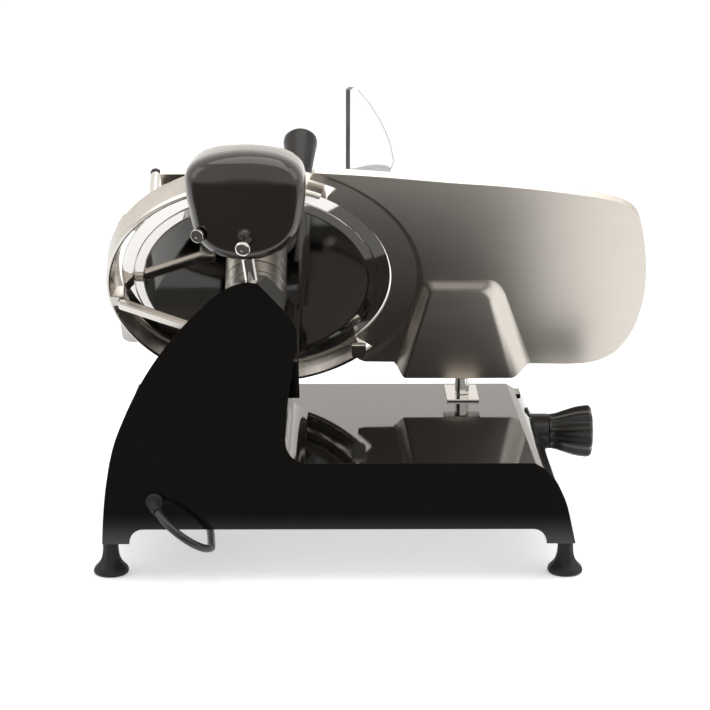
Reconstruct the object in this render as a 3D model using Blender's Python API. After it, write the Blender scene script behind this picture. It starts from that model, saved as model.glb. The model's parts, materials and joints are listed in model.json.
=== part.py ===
# Electric food slicer with an inclined 250 mm blade and a gravity-fed carriage.
# Metres, +Z up. The machine stands on four feet, the base's front face looks along -Y,
# and the operator stands at +X. Everything is placed from the dimensions below, in a frame
# whose X = 0 is under the blade's centre and whose Y = 0 is the base's front face.
# At the end the whole machine is moved so that the origin is on the bench plane under the
# middle of its box.

import math

import bmesh
import bpy
from mathutils import Matrix, Vector

for leftover in list(bpy.data.objects):
    bpy.data.objects.remove(leftover, do_unlink=True)

GAP = 0.0003              # between faces that touch
RUNNING = 0.0001          # radial clearance of a shaft that slides in a bush
ROUND = 32                # sides of a small round piece

BASE_DEPTH = 0.288        # the base casting from its front face to its back face

# Blade and its axis
BLADE_RADIUS = 0.125
BLADE_TILT = math.radians(37.3)
BLADE_BEHIND = 0.110       # the blade's centre to the base's back face
BLADE_CENTRE_Y = BASE_DEPTH - BLADE_BEHIND
BLADE_CENTRE_Z = 0.2402
BLADE_FLAT = 0.0050       # slice-side face of the flat middle
BLADE_HOLLOW = 0.0020     # food-side face of the flat middle
BLADE_BORE = 0.0190
BEVEL_INNER = BLADE_RADIUS - 0.0108
BLADE_SIDES = 48
HUB_RADIUS = 0.0285
HUB_END = 0.0170
SCREW_CIRCLE = 0.0238
SCREW_RADIUS = 0.0025
SHAFT_RADIUS = 0.0085
SHAFT_LENGTH = 0.0960
BEARING_RADIUS = 0.0175
BEARING_WIDTH = 0.0100
COLUMN_DISTANCE = 0.0690  # blade plane to the column's back face

# Belt drive and motor
PULLEY_RADIUS = 0.0265
PULLEY_START = 0.0800
PULLEY_WIDTH = 0.0160
MOTOR_PULLEY_RADIUS = 0.0140
MOTOR_X = -0.0450
MOTOR_UP = -0.0620
MOTOR_RADIUS = 0.0340
MOTOR_START = 0.1022
MOTOR_LENGTH = 0.0680
BELT_THICKNESS = 0.0025
LUG_REACH = 0.0360

# Base casting
BASE_TOP = 0.110
BASE_UNDERSIDE = 0.050
LEG_BOTTOM = 0.0367
LEG_ARCH = 0.0120
LEG_DEPTH = 0.056
BASE_LEFT = -0.1305
BASE_RIGHT = 0.285
WALL = 0.006
COLUMN_WALL = 0.006
EDGE_ROUND = 0.0045
END_TAPER = 0.0045         # the right end leans in so much toward the back
COLUMN_PIVOT = 0.036      # the column's right side, which stays upright toward the back
COLUMN_NARROWING = 0.18
COLUMN_DROP = 0.05
MOUTH_INSET = 0.016
FOOT_LEFT = -0.1262
FOOT_RIGHT = 0.2792
FOOT_INSET = 0.030

# Ring guard round the blade
RING_CLEAR = 0.0030        # between the blade's edge and the ring
RING_INNER = BLADE_RADIUS + RING_CLEAR
RING_RADIUS = RING_INNER + 0.0115
RING_FRONT = 0.0160
RING_BACK = 0.0120
ARM_LEFT = 0.0105 - RING_RADIUS
ARM_LOW = -0.0212
ARM_HIGH = -0.0112
RING_FROM = math.radians(61.0)
RING_TO = math.radians(316.5)

# Gauge plate and its slide
PLATE_FOOD_FACE = 0.0012
PLATE_BAND = 0.0025
PLATE_BACK = 0.0062
PLATE_CLEAR = 0.0048       # between the blade's edge and the gauge plate
PLATE_CUT = BLADE_RADIUS + PLATE_CLEAR
PLATE_STEP = BLADE_RADIUS + 0.0250
GAUGE_TRAVEL = 0.016
POST_X = 0.197
POST_Y = BLADE_CENTRE_Y + 0.062
POST_RADIUS = 0.0070
SHANK_RADIUS = 0.0055
FOOT_PAD_Z = 0.1290
COVER_PLATE_SIZE = (0.031, 0.060, 0.0020)
COVER_PLATE_BEHIND = 0.035
GUIDE_ROD_RADIUS = 0.0060
GUIDE_ROD_X = 0.190
GUIDE_ROD_Z = 0.070

# Thickness knob and its spiral cam
KNOB_Z = 0.0795
KNOB_START = 0.2800
KNOB_END = 0.3230
KNOB_NECK = 0.0171
KNOB_RIM = 0.0258
KNOB_LOBES = 10
KNOB_SHAFT_RADIUS = 0.0060
KNOB_RANGE = math.radians(330.0)
PIN_RADIUS = 0.0023
PIN_CLEAR = 0.0003
SPIRAL_OUTER = 0.0206
CAM_RADIUS = 0.0243
CAM_START = 0.2125
CAM_THICKNESS = 0.0080
GROOVE_DEPTH = 0.0045
DIAL_RADIUS = 0.0346
DIAL_TILT = math.radians(23.4)
DIAL_CENTRE = (0.2710, 0.0697)
DIAL_THICKNESS = 0.0026
BUSH_START = 0.2590
KNOB_Y = POST_Y - SPIRAL_OUTER

# Carriage
BAR_RADIUS = 0.0070
BAR_Y = BASE_DEPTH - 0.0160
BAR_Z = 0.0720
BAR_LEFT = -0.1150
BAR_RIGHT = 0.2560
CARRIAGE_TRAVEL = 0.225
BLOCK_LEFT = -0.060
BLOCK_RIGHT = 0.000
TRAY_LEFT = -0.104
TRAY_WALL = 0.0835
TRAY_FLOOR = -0.1080
TRAY_THICKNESS = 0.0060
TRAY_NEAR = 0.0160
TRAY_FAR = 0.2350
ROLLER_RADIUS = 0.0080
HANDLE_PLACE = (-0.1160, -0.2420)

# Press on its rod
ROD_X = -0.1110
ROD_UP = -0.0845
ROD_RADIUS = 0.0050
BRACKET_LEFT = -0.1345
ROD_END = 0.2150
SLEEVE_RADIUS = 0.0090
SLEEVE_START = 0.0360
SLEEVE_END = 0.0820
PRESS_TRAVEL = 0.130
PRESS_NEAR = 0.0180
PRESS_THICKNESS = 0.0050

# Sharpener
SHARP_LEAN = 0.151         # sideways over up
SHARP_TOP_X = -0.0037
HELMET_WALL = 0.0030
SHARP_POST_RADIUS = 0.0057
SHARP_POST_Y = 0.030
BUTTON_TRAVEL = 0.008
STEM_RADIUS = 0.0036
DEBURR_HEAD_RADIUS = 0.0059
STONE_RADIUS = 0.0090
STONE_CLEAR = 0.0154        # a stone's face before the blade's plane

# Switch
SWITCH_TILT = math.radians(17.3)
SWITCH_Y = 0.060
SWITCH_Z = 0.0655
SWITCH_SUNK = 0.0030        # the housing's seat below the end wall
SWITCH_HALF = (0.0150, 0.0250)   # half its height and half its width
SWITCH_LIP = 0.0040         # its plate's rim round its body
SWITCH_TRAVEL = 0.002
SWITCH_BUTTON = 0.0085

# Mains lead
CORD_RADIUS = 0.0035
CORD_EXIT = (-0.084, 0.076)
COIL_CENTRE = (-0.030, BASE_DEPTH + 0.084)
COIL_OUTER = 0.0455
COIL_PITCH = 0.0078
COIL_TURNS = 3

materials = {}


def paint(name, colour, roughness, metallic=0.0, alpha=1.0):
    """One Principled material, made the first time that it is asked for."""
    if name not in materials:
        finish = bpy.data.materials.new(name)
        finish.use_nodes = True
        shader = finish.node_tree.nodes["Principled BSDF"]
        shader.inputs["Base Color"].default_value = (*colour, 1.0)
        shader.inputs["Roughness"].default_value = roughness
        shader.inputs["Metallic"].default_value = metallic
        shader.inputs["Alpha"].default_value = alpha
        materials[name] = finish
    return materials[name]


def black_gloss():
    return paint("black_gloss", (0.010, 0.010, 0.011), 0.08)


def black_plastic():
    return paint("black_plastic", (0.018, 0.018, 0.019), 0.35)


def black_rubber():
    return paint("black_rubber", (0.02, 0.02, 0.02), 0.6)


def satin_aluminium():
    return paint("satin_aluminium", (0.62, 0.60, 0.57), 0.32, 1.0)


def polished_steel():
    return paint("polished_steel", (0.75, 0.75, 0.74), 0.08, 1.0)


def plain_steel():
    return paint("plain_steel", (0.48, 0.48, 0.48), 0.3, 1.0)


def frame(name, parent=None, place=(0, 0, 0), turn=(0, 0, 0)):
    """An empty that carries the pieces drawn in its own axes."""
    empty = bpy.data.objects.new(name, None)
    bpy.context.scene.collection.objects.link(empty)
    empty.parent = parent
    empty.location = place
    empty.rotation_euler = turn
    bpy.context.view_layer.update()
    return empty


def piece(name, mesh_data, finish, parent, sharp=30.0):
    """Turn a bmesh into a named object in its parent's axes."""
    bmesh.ops.recalc_face_normals(mesh_data, faces=mesh_data.faces)
    mesh = bpy.data.meshes.new(name)
    mesh_data.to_mesh(mesh)
    mesh_data.free()
    if mesh.polygons:
        mesh.shade_smooth()
        mesh.set_sharp_from_angle(angle=math.radians(sharp))
    obj = bpy.data.objects.new(name, mesh)
    bpy.context.scene.collection.objects.link(obj)
    obj.data.materials.append(finish)
    obj.parent = parent
    bpy.context.view_layer.update()
    return obj


def bake(obj):
    """Apply an object's modifiers to its mesh."""
    bpy.context.view_layer.update()
    shown = obj.evaluated_get(bpy.context.evaluated_depsgraph_get())
    mesh = bpy.data.meshes.new_from_object(shown)
    obj.modifiers.clear()
    obj.data = mesh
    return obj


def combine(obj, tool_mesh, operation, parent=None):
    """Join a bmesh to an object, or cut it away, and discard the tool."""
    tool = piece("tool", tool_mesh, obj.data.materials[0], parent or obj.parent)
    change = obj.modifiers.new(operation.lower(), 'BOOLEAN')
    change.operation = operation
    change.solver = 'EXACT'
    change.object = tool
    bake(obj)
    bpy.data.objects.remove(tool, do_unlink=True)
    return obj


def cut(obj, tool_mesh, parent=None):
    return combine(obj, tool_mesh, 'DIFFERENCE', parent)


def fuse(obj, tool_mesh, parent=None):
    return combine(obj, tool_mesh, 'UNION', parent)


def soften(obj, width, angle=35.0, segments=2):
    """Round an object's edges that are sharper than the given angle."""
    rounding = obj.modifiers.new("rounding", 'BEVEL')
    rounding.width = width
    rounding.segments = segments
    rounding.limit_method = 'ANGLE'
    rounding.angle_limit = math.radians(angle)
    rounding.use_clamp_overlap = True
    return bake(obj)


def loft(rings, closed_loop=False):
    """Skin a list of point rings of equal length; the ends are capped unless the loft closes."""
    data = bmesh.new()
    rows = [[data.verts.new(point) for point in ring] for ring in rings]
    count = len(rows[0])
    pairs = list(zip(rows, rows[1:]))
    if closed_loop:
        pairs.append((rows[-1], rows[0]))
    for near, far in pairs:
        for i in range(count):
            j = (i + 1) % count
            data.faces.new((near[i], near[j], far[j], far[i]))
    if not closed_loop:
        data.faces.new(rows[0][::-1])
        data.faces.new(rows[-1])
    return data


def prism(outline, low, high):
    """A flat outline in local X, Y, thickened along local Z."""
    return loft([[(x, y, low) for x, y in outline], [(x, y, high) for x, y in outline]])


def slab(x_range, y_range, z_range):
    (x0, x1), (y0, y1), (z0, z1) = x_range, y_range, z_range
    return prism([(x0, y0), (x1, y0), (x1, y1), (x0, y1)], z0, z1)


def lathe(profile, sides=ROUND, lobes=0, lobe_depth=0.0, turn=None):
    """Turn a closed (radius, height) profile about local Z. Points at radius 0 lie on the axis.

    Lobes flute the outside; turn maps the finished points, for another axis.
    """
    data = bmesh.new()
    rows = []
    for radius, height in profile:
        if radius == 0.0:
            rows.append([data.verts.new((0.0, 0.0, height))])
            continue
        row = []
        for k in range(sides):
            angle = 2.0 * math.pi * k / sides
            reach = radius
            if lobes and radius > KNOB_SHAFT_RADIUS * 1.1:
                reach = radius * (1.0 - lobe_depth * (0.5 + 0.5 * math.cos(lobes * angle)))
            row.append(data.verts.new((reach * math.cos(angle), reach * math.sin(angle), height)))
        rows.append(row)
    for near, far in zip(rows, rows[1:] + rows[:1]):
        if len(near) == 1 and len(far) == 1:
            continue
        for i in range(sides):
            j = (i + 1) % sides
            if len(near) == 1:
                data.faces.new((near[0], far[j], far[i]))
            elif len(far) == 1:
                data.faces.new((near[i], near[j], far[0]))
            else:
                data.faces.new((near[i], near[j], far[j], far[i]))
    if turn is not None:
        bmesh.ops.transform(data, matrix=turn, verts=data.verts)
    return data


def rod(radius, low, high, sides=ROUND, turn=None):
    return lathe([(0.0, low), (radius, low), (radius, high), (0.0, high)], sides, turn=turn)


def tube(inner, outer, low, high, sides=ROUND, turn=None):
    return lathe([(inner, low), (outer, low), (outer, high), (inner, high)], sides, turn=turn)


def move(x, y, z):
    return Matrix.Translation((x, y, z))


def along_x(x, y, z):
    """Local Z of a turned shape becomes +X, through the given point."""
    return move(x, y, z) @ Matrix.Rotation(math.pi / 2, 4, 'Y')


def along_y(x, y, z):
    """Local Z of a turned shape becomes +Y, through the given point."""
    return move(x, y, z) @ Matrix.Rotation(-math.pi / 2, 4, 'X')


def along(direction, point):
    """Local Z of a turned shape becomes the given direction, through the given point."""
    return move(*point) @ Vector(direction).to_track_quat('Z', 'Y').to_matrix().to_4x4()


def smooth(points, steps, closed=False):
    """A Catmull-Rom curve through the given points, with so many steps between each pair."""
    count = len(points)
    size = len(points[0])
    result = []
    spans = count if closed else count - 1
    for i in range(spans):
        if closed:
            p0, p1, p2, p3 = (points[(i + k) % count] for k in (-1, 0, 1, 2))
        else:
            p0, p1, p2, p3 = (points[min(max(i + k, 0), count - 1)] for k in (-1, 0, 1, 2))
        for s in range(steps):
            t = s / steps
            result.append(tuple(
                0.5 * (2 * p1[c] + (p2[c] - p0[c]) * t
                       + (2 * p0[c] - 5 * p1[c] + 4 * p2[c] - p3[c]) * t * t
                       + (3 * p1[c] - p0[c] - 3 * p2[c] + p3[c]) * t ** 3)
                for c in range(size)))
    if not closed:
        result.append(tuple(points[-1]))
    return result


def arc(centre, radius, start, stop, steps):
    """Points on an arc, both ends included; angles in radians."""
    return [(centre[0] + radius * math.cos(start + (stop - start) * k / steps),
             centre[1] + radius * math.sin(start + (stop - start) * k / steps))
            for k in range(steps + 1)]


def inset(outline, distance):
    """Move each edge of an anticlockwise outline inward."""
    count = len(outline)
    result = []
    for i in range(count):
        before, here, after = (Vector(outline[(i + k) % count]) for k in (-1, 0, 1))
        first = (here - before).normalized()
        second = (after - here).normalized()
        normal_1 = Vector((-first.y, first.x))
        normal_2 = Vector((-second.y, second.x))
        middle = normal_1 + normal_2
        middle = middle / max(middle.length_squared / 2.0, 0.5)
        result.append(tuple(here + middle * distance))
    return result


def thinned(outline, least):
    """Drop the points of a closed outline that crowd the one before them."""
    kept = [outline[0]]
    for point in outline[1:]:
        if math.dist(point, kept[-1]) > least:
            kept.append(point)
    if math.dist(kept[0], kept[-1]) < least:
        kept.pop()
    return kept


# Frames

machine = frame("machine")
TO_BLADE = (math.pi / 2 + BLADE_TILT, 0, 0)
# Local X is +X, local Y runs up in the blade's plane, local Z leaves the blade on the slice side.
blade_frame = frame("blade_frame", machine, (0, BLADE_CENTRE_Y, BLADE_CENTRE_Z), TO_BLADE)
SIN = math.sin(BLADE_TILT)
COS = math.cos(BLADE_TILT)


def from_blade(x, up, out):
    """A point of the blade's axes in the machine's axes."""
    return (x, BLADE_CENTRE_Y - SIN * up - COS * out, BLADE_CENTRE_Z + COS * up - SIN * out)


# Base casting

LEFT_EDGE = [(BASE_LEFT, LEG_BOTTOM), (-0.1292, 0.060), (-0.1265, 0.086), (-0.1225, 0.110)]
COLUMN_LEFT = [(-0.1225, 0.110), (-0.115, 0.136), (-0.094, 0.181), (-0.067, 0.220),
               (-0.033, 0.2555), (-0.014, 0.2675)]
COLUMN_ROOF = [(-0.014, 0.2675), (-0.003, 0.2705), (0.008, 0.2695)]
COLUMN_RIGHT = [(0.030, 0.2465), (0.0385, 0.2355), (0.0418, 0.2230), (0.0400, 0.2110),
                (0.0335, 0.167), (0.0310, 0.140), (0.0312, 0.1265), (0.0345, 0.1180),
                (0.0400, 0.1130), (0.0480, BASE_TOP)]
RIGHT_EDGE = [(0.2480, BASE_TOP), (0.2570, 0.1045), (0.2660, 0.0950), (0.2715, 0.0850),
              (0.2770, 0.0715), (0.2812, 0.0540), (BASE_RIGHT, LEG_BOTTOM)]


def base_section():
    """The low body's outline in X and Z, anticlockwise, legs included."""
    left = smooth(LEFT_EDGE, 2)
    right = smooth(RIGHT_EDGE, 2)
    spring = BASE_UNDERSIDE - LEG_ARCH
    arch_left = [(-0.1067, LEG_BOTTOM)] + arc((-0.1065 + LEG_ARCH, spring), LEG_ARCH, math.pi, math.pi / 2, 3)
    arch_right = arc((0.2595 - LEG_ARCH, spring), LEG_ARCH, math.pi / 2, 0.0, 3) + [(0.2597, LEG_BOTTOM)]
    bottom = [(BASE_LEFT, LEG_BOTTOM)] + arch_left + arch_right
    top_left = (LEFT_EDGE[-1][0] + EDGE_ROUND, BASE_TOP)
    return bottom + right[::-1] + [top_left] + left[::-1][:-1]


def column_sections():
    """Front and back outlines of the column, from inside the low body up to the roof."""
    left = smooth(COLUMN_LEFT, 3)[::-1]
    roof = smooth(COLUMN_ROOF, 2)[::-1]
    right = smooth(COLUMN_RIGHT, 2)[::-1]
    sunk = BASE_TOP - 0.008
    front = [(left[-1][0] + 0.001, sunk), (right[0][0], sunk)] + right + roof + left[1:]
    back = []
    for x, z in front:
        share = max(z - BASE_TOP, 0.0) / 0.16
        low = BASE_TOP + (z - BASE_TOP) * (1.0 - COLUMN_DROP) if z > BASE_TOP else z
        back.append((COLUMN_PIVOT + (x - COLUMN_PIVOT) * (1.0 - COLUMN_NARROWING * min(1.0, 0.4 + share))
                     if x < COLUMN_PIVOT else x, low))
    return front, back


def column_back(z, distance):
    """Depth of the plane that lies so far before the blade's plane, at height z."""
    return BLADE_CENTRE_Y - (z - BLADE_CENTRE_Z + SIN * distance) * SIN / COS - COS * distance


def end_shift(y):
    """How far the right end has leaned in at this depth."""
    return END_TAPER * y / BASE_DEPTH


def tapered(outline, y):
    """An outline at depth y, its right end leaned in."""
    return [(x - end_shift(y) if x > 0.24 else x, y, z) for x, z in outline]


def build_base():
    outline = base_section()
    body = piece("base_casting", loft([tapered(outline, 0.0), tapered(outline, BASE_DEPTH)]),
                 black_gloss(), machine)
    cut(body, slab((BASE_LEFT - 0.02, BASE_RIGHT + 0.02), (LEG_DEPTH, BASE_DEPTH - LEG_DEPTH),
                   (LEG_BOTTOM - 0.02, BASE_UNDERSIDE)))
    front, back = column_sections()
    fuse(body, loft([[(x, 0.0, z) for x, z in front],
                     [(x, column_back(z, COLUMN_DISTANCE), z) for x, z in back]]))
    soften(body, EDGE_ROUND, 40.0, 2)
    inner = [(x, max(z, BASE_UNDERSIDE + 0.004)) for x, z in inset(outline, WALL) if z > BASE_UNDERSIDE + 0.001]
    roomy = thinned(inner, 0.002)
    cut(body, loft([tapered(roomy, WALL), tapered(roomy, BASE_DEPTH - WALL)]))
    cut(body, slab((BASE_LEFT + 0.043, BASE_RIGHT - 0.047), (MOUTH_INSET, BASE_DEPTH - MOUTH_INSET),
                   (LEG_BOTTOM - 0.02, BASE_UNDERSIDE + 0.010)))
    sunk = BASE_TOP - WALL - 0.004
    rings = [[], []]
    for near, far in zip(inset(front, COLUMN_WALL), inset(back, COLUMN_WALL)):
        if min(near[1], far[1]) > BASE_TOP + 0.002:
            rings[0].append((near[0], WALL + 0.0007, near[1]))
            rings[1].append((far[0], column_back(far[1], COLUMN_DISTANCE + COLUMN_WALL), far[1]))
    for ring in rings:
        low_right, low_left = ring[0], ring[-1]
        ring.insert(0, (low_right[0], low_right[1], sunk))
        ring.append((low_left[0], low_left[1], sunk))
    hollow = loft(rings)
    bmesh.ops.triangulate(hollow, faces=hollow.faces)
    cut(body, hollow)
    # Bearing spigot hole, motor lugs, post slot, sharpener post hole
    cut(body, rod(0.0243, COLUMN_DISTANCE - 0.03, COLUMN_DISTANCE + COLUMN_WALL + 0.003), blade_frame)
    for x, up in lug_places():
        fuse(body, rod(0.0062, COLUMN_DISTANCE + 0.003, MOTOR_START - GAP, 16,
                       turn=move(x, up, 0)), blade_frame)
    slot_front = POST_Y - GAUGE_TRAVEL - SHANK_RADIUS - 0.0015
    slot_back = POST_Y + SHANK_RADIUS + 0.0015
    cut(body, slab((POST_X - 0.0070, POST_X + 0.0070), (slot_front, slot_back),
                   (BASE_TOP - WALL - 0.003, BASE_TOP + 0.01)))
    lean = Vector((-SHARP_LEAN, 0.0, 1.0))
    post_hole = rod(SHARP_POST_RADIUS + GAP, -GAP, 0.0300, 20,
                    turn=along(lean, (SHARP_TOP_X + SHARP_LEAN * 0.047, SHARP_POST_Y, 0.2553)))
    cut(body, post_hole)
    # Carriage slot in the back wall
    cut(body, slab((BLOCK_LEFT + 0.008, BLOCK_RIGHT + CARRIAGE_TRAVEL - 0.008),
                   (BASE_DEPTH - WALL - 0.003, BASE_DEPTH + 0.01), (0.0640, 0.0840)))
    # Dial seat, knob bush hole, switch seat and hole
    dial = dial_place()
    cut(body, rod(DIAL_RADIUS + GAP, -GAP, 0.03, turn=dial))
    cut(body, rod(KNOB_NECK - 0.004 + GAP, 0.2500, 0.3000, turn=along_x(0, KNOB_Y, KNOB_Z)))
    # Room for the cam under the deck
    cut(body, rod(CAM_RADIUS + 0.0010, CAM_START - 0.0020, CAM_START + CAM_THICKNESS + 0.0020, 36,
                  turn=along_x(0, KNOB_Y, KNOB_Z)))
    high, wide = SWITCH_HALF
    cut(body, slab((-high - GAP, high + GAP), (-wide - GAP, wide + GAP), (-GAP, 0.02)), switch_frame)
    high, wide = high - SWITCH_LIP + GAP, wide - SWITCH_LIP + GAP
    cut(body, slab((-high, high), (-wide, wide), (-0.02, 0.02)), switch_frame)
    # Gland hole and guide rod lugs
    cut(body, rod(0.0052 + GAP, -0.01, 0.02, 20, turn=along_y(CORD_EXIT[0], 0, CORD_EXIT[1])))
    for y in (POST_Y - 0.0440, POST_Y + 0.0165):
        lug = slab((GUIDE_ROD_X - 0.0090, GUIDE_ROD_X + 0.0090), (y, y + 0.0050),
                   (GUIDE_ROD_Z - 0.0100, BASE_TOP - WALL + 0.002))
        fuse(body, lug)
    cut(body, rod(GUIDE_ROD_RADIUS + RUNNING, POST_Y - 0.0500, POST_Y + 0.0250, 24,
                  turn=along_y(GUIDE_ROD_X, 0, GUIDE_ROD_Z)))
    # Lugs at the two ends of the carriage's bar
    for x in (BAR_LEFT, BAR_RIGHT - 0.0080):
        fuse(body, slab((x, x + 0.0080), (BAR_Y - 0.0115, BASE_DEPTH - WALL + 0.002),
                        (BAR_Z - 0.0110, BASE_TOP - WALL + 0.002)))
    cut(body, rod(BAR_RADIUS + RUNNING, BAR_LEFT - 0.0010, BAR_RIGHT + 0.0010, 28,
                  turn=along_x(0, BAR_Y, BAR_Z)))
    return body


def lug_places():
    """The two cast lugs that the motor's flange is screwed to, in the blade's axes."""
    toward = Vector((-MOTOR_X, -MOTOR_UP)).normalized()
    side = Vector((toward.y, -toward.x)) * LUG_REACH
    return [(MOTOR_X + side.x, MOTOR_UP + side.y), (MOTOR_X - side.x, MOTOR_UP - side.y)]


def dial_place():
    return (move(DIAL_CENTRE[0], KNOB_Y, DIAL_CENTRE[1])
            @ Matrix.Rotation(math.pi / 2 - DIAL_TILT, 4, 'Y'))


def end_wall(y, z):
    """How far out the right end's wall lies at this depth and height."""
    outline = smooth(RIGHT_EDGE, 2)
    for (x, top), (next_x, low) in zip(outline, outline[1:]):
        if low <= z <= top:
            return x + (next_x - x) * (top - z) / (top - low) - end_shift(y)


switch_frame = frame("switch_frame", machine,
                     (end_wall(SWITCH_Y, SWITCH_Z) - SWITCH_SUNK, SWITCH_Y, SWITCH_Z),
                     (0, math.pi / 2 - SWITCH_TILT, math.atan(END_TAPER / BASE_DEPTH)))


def build_underside():
    cover = slab((BASE_LEFT + 0.040, BASE_RIGHT - 0.043), (0.010, BASE_DEPTH - 0.010),
                 (BASE_UNDERSIDE - GAP - 0.0025, BASE_UNDERSIDE - GAP))
    # Vent slots under the motor
    plate = piece("bottom_cover", cover, plain_steel(), machine)
    for k in range(6):
        x = -0.075 + 0.012 * k
        cut(plate, slab((x, x + 0.005), (0.060, 0.130), (0.040, 0.060)))
    foot = [(0.0, 0.0), (0.0138, 0.0), (0.0160, 0.0030), (0.0154, 0.0056), (0.0132, 0.0080),
            (0.0098, 0.0122), (0.0078, 0.0180), (0.0071, 0.0250), (0.0071, LEG_BOTTOM - GAP),
            (0.0, LEG_BOTTOM - GAP)]
    for name, x, y in (("foot_front_left", FOOT_LEFT, FOOT_INSET), ("foot_front_right", FOOT_RIGHT, FOOT_INSET),
                       ("foot_rear_left", FOOT_LEFT, BASE_DEPTH - FOOT_INSET),
                       ("foot_rear_right", FOOT_RIGHT - END_TAPER, BASE_DEPTH - FOOT_INSET)):
        data = lathe(foot, 16, 8, 0.05)
        bmesh.ops.transform(data, matrix=move(x, y, 0), verts=data.verts)
        piece(name, data, black_rubber(), machine, 50.0)


# Blade group

def build_blade():
    axis = frame("blade_axis", blade_frame)
    rim = BEVEL_INNER - 0.0107
    profile = [(BLADE_BORE, BLADE_HOLLOW), (BLADE_RADIUS - 0.0130, BLADE_HOLLOW), (BLADE_RADIUS - 0.0060, 0.0012),
               (BLADE_RADIUS, 0.0), (BLADE_RADIUS - 0.0003, 0.0004), (BEVEL_INNER, 0.0034),
               (BEVEL_INNER - 0.0007, 0.0030), (BEVEL_INNER - 0.0014, 0.0036),
               (rim + 0.0018, BLADE_FLAT + 0.0002), (rim, BLADE_FLAT), (BLADE_BORE, BLADE_FLAT)]
    blade = piece("blade", lathe(profile, BLADE_SIDES), polished_steel(), axis)
    hub_profile = [(SHAFT_RADIUS + GAP, 0.0004), (BLADE_BORE - GAP, 0.0004),
                   (BLADE_BORE - GAP, BLADE_FLAT + GAP), (HUB_RADIUS, BLADE_FLAT + GAP),
                   (HUB_RADIUS, HUB_END), (SHAFT_RADIUS + GAP, HUB_END)]
    hub = piece("blade_hub", lathe(hub_profile, 32), satin_aluminium(), axis)
    for k in range(3):
        angle = math.radians(20.0) + k * 2 * math.pi / 3
        place = move(SCREW_CIRCLE * math.cos(angle), SCREW_CIRCLE * math.sin(angle), 0)
        hole = rod(SCREW_RADIUS + GAP, -0.003, 0.0133, 12, turn=place)
        cut(blade, hole)
        cut(hub, rod(SCREW_RADIUS + GAP, -0.003, 0.0133, 12, turn=place))
        screw = lathe([(0.0, BLADE_HOLLOW - GAP - 0.0026), (0.0042, BLADE_HOLLOW - GAP - 0.0026),
                       (0.0042, BLADE_HOLLOW - GAP), (SCREW_RADIUS, BLADE_HOLLOW - GAP),
                       (SCREW_RADIUS, 0.0130), (0.0, 0.0130)], 10, turn=place)
        piece(f"blade_screw_{k + 1}", screw, plain_steel(), axis)
    piece("blade_shaft", rod(SHAFT_RADIUS, 0.0010, 0.0010 + SHAFT_LENGTH, 24), plain_steel(), axis)
    piece("blade_pulley", pulley(PULLEY_RADIUS, SHAFT_RADIUS + GAP), plain_steel(), axis)


def pulley(radius, bore):
    """A grooved pulley with a recessed web."""
    start = PULLEY_START
    stop = PULLEY_START + PULLEY_WIDTH
    profile = [(bore, start), (radius, start)]
    for k in range(3):
        low = start + 0.0025 + k * 0.0037
        profile += [(radius, low), (radius - 0.0012, low + 0.0015)]
    profile += [(radius, stop - 0.0020), (radius, stop), (bore, stop)]
    return lathe(profile, 28 if radius > 0.02 else 20)


def build_motor():
    axis = frame("motor_axis", blade_frame, (MOTOR_X, MOTOR_UP, 0))
    piece("motor_pulley", pulley(MOTOR_PULLEY_RADIUS, 0.0053), plain_steel(), axis)
    piece("motor_shaft", rod(0.0050, PULLEY_START, MOTOR_START - GAP, 16), plain_steel(), axis)
    stop = MOTOR_START + MOTOR_LENGTH
    body = piece("motor_body", lathe([(0.0, MOTOR_START), (MOTOR_RADIUS - 0.003, MOTOR_START),
                                      (MOTOR_RADIUS, MOTOR_START + 0.003), (MOTOR_RADIUS, stop - 0.006),
                                      (MOTOR_RADIUS - 0.008, stop), (0.0, stop)], 32),
                 plain_steel(), axis)
    lugs = [Vector((x - MOTOR_X, up - MOTOR_UP)) for x, up in lug_places()]
    spread = math.atan2(lugs[0].y, lugs[0].x)
    ears = []
    for lug in lugs:
        facing = math.atan2(lug.y, lug.x)
        ears += arc(tuple(lug), 0.0070, facing - math.pi / 2, facing + math.pi / 2, 6)
    fuse(body, prism(ears, MOTOR_START, MOTOR_START + 0.004))
    return spread


def build_belt():
    """The ribbed belt as one band round both pulleys, in the blade's axes."""
    centre = Vector((MOTOR_X, MOTOR_UP))
    distance = centre.length
    heading = math.atan2(centre.y, centre.x)
    lean = math.asin((PULLEY_RADIUS - MOTOR_PULLEY_RADIUS) / distance)

    def band(extra):
        large = PULLEY_RADIUS + extra
        small = MOTOR_PULLEY_RADIUS + extra
        half = math.pi / 2 - lean
        big = arc((0.0, 0.0), large, heading + half, heading + 2 * math.pi - half, 28)
        little = arc(tuple(centre), small, heading - half, heading + half, 14)
        return big + little

    inside = band(GAP)
    outside = band(GAP + BELT_THICKNESS)
    low = PULLEY_START + 0.0010
    high = PULLEY_START + PULLEY_WIDTH - 0.0010
    rings = [[(x, y, low) for x, y in inside], [(x, y, low) for x, y in outside],
             [(x, y, high) for x, y in outside], [(x, y, high) for x, y in inside]]
    piece("drive_belt", loft(rings, closed_loop=True), black_rubber(), blade_frame)


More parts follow.
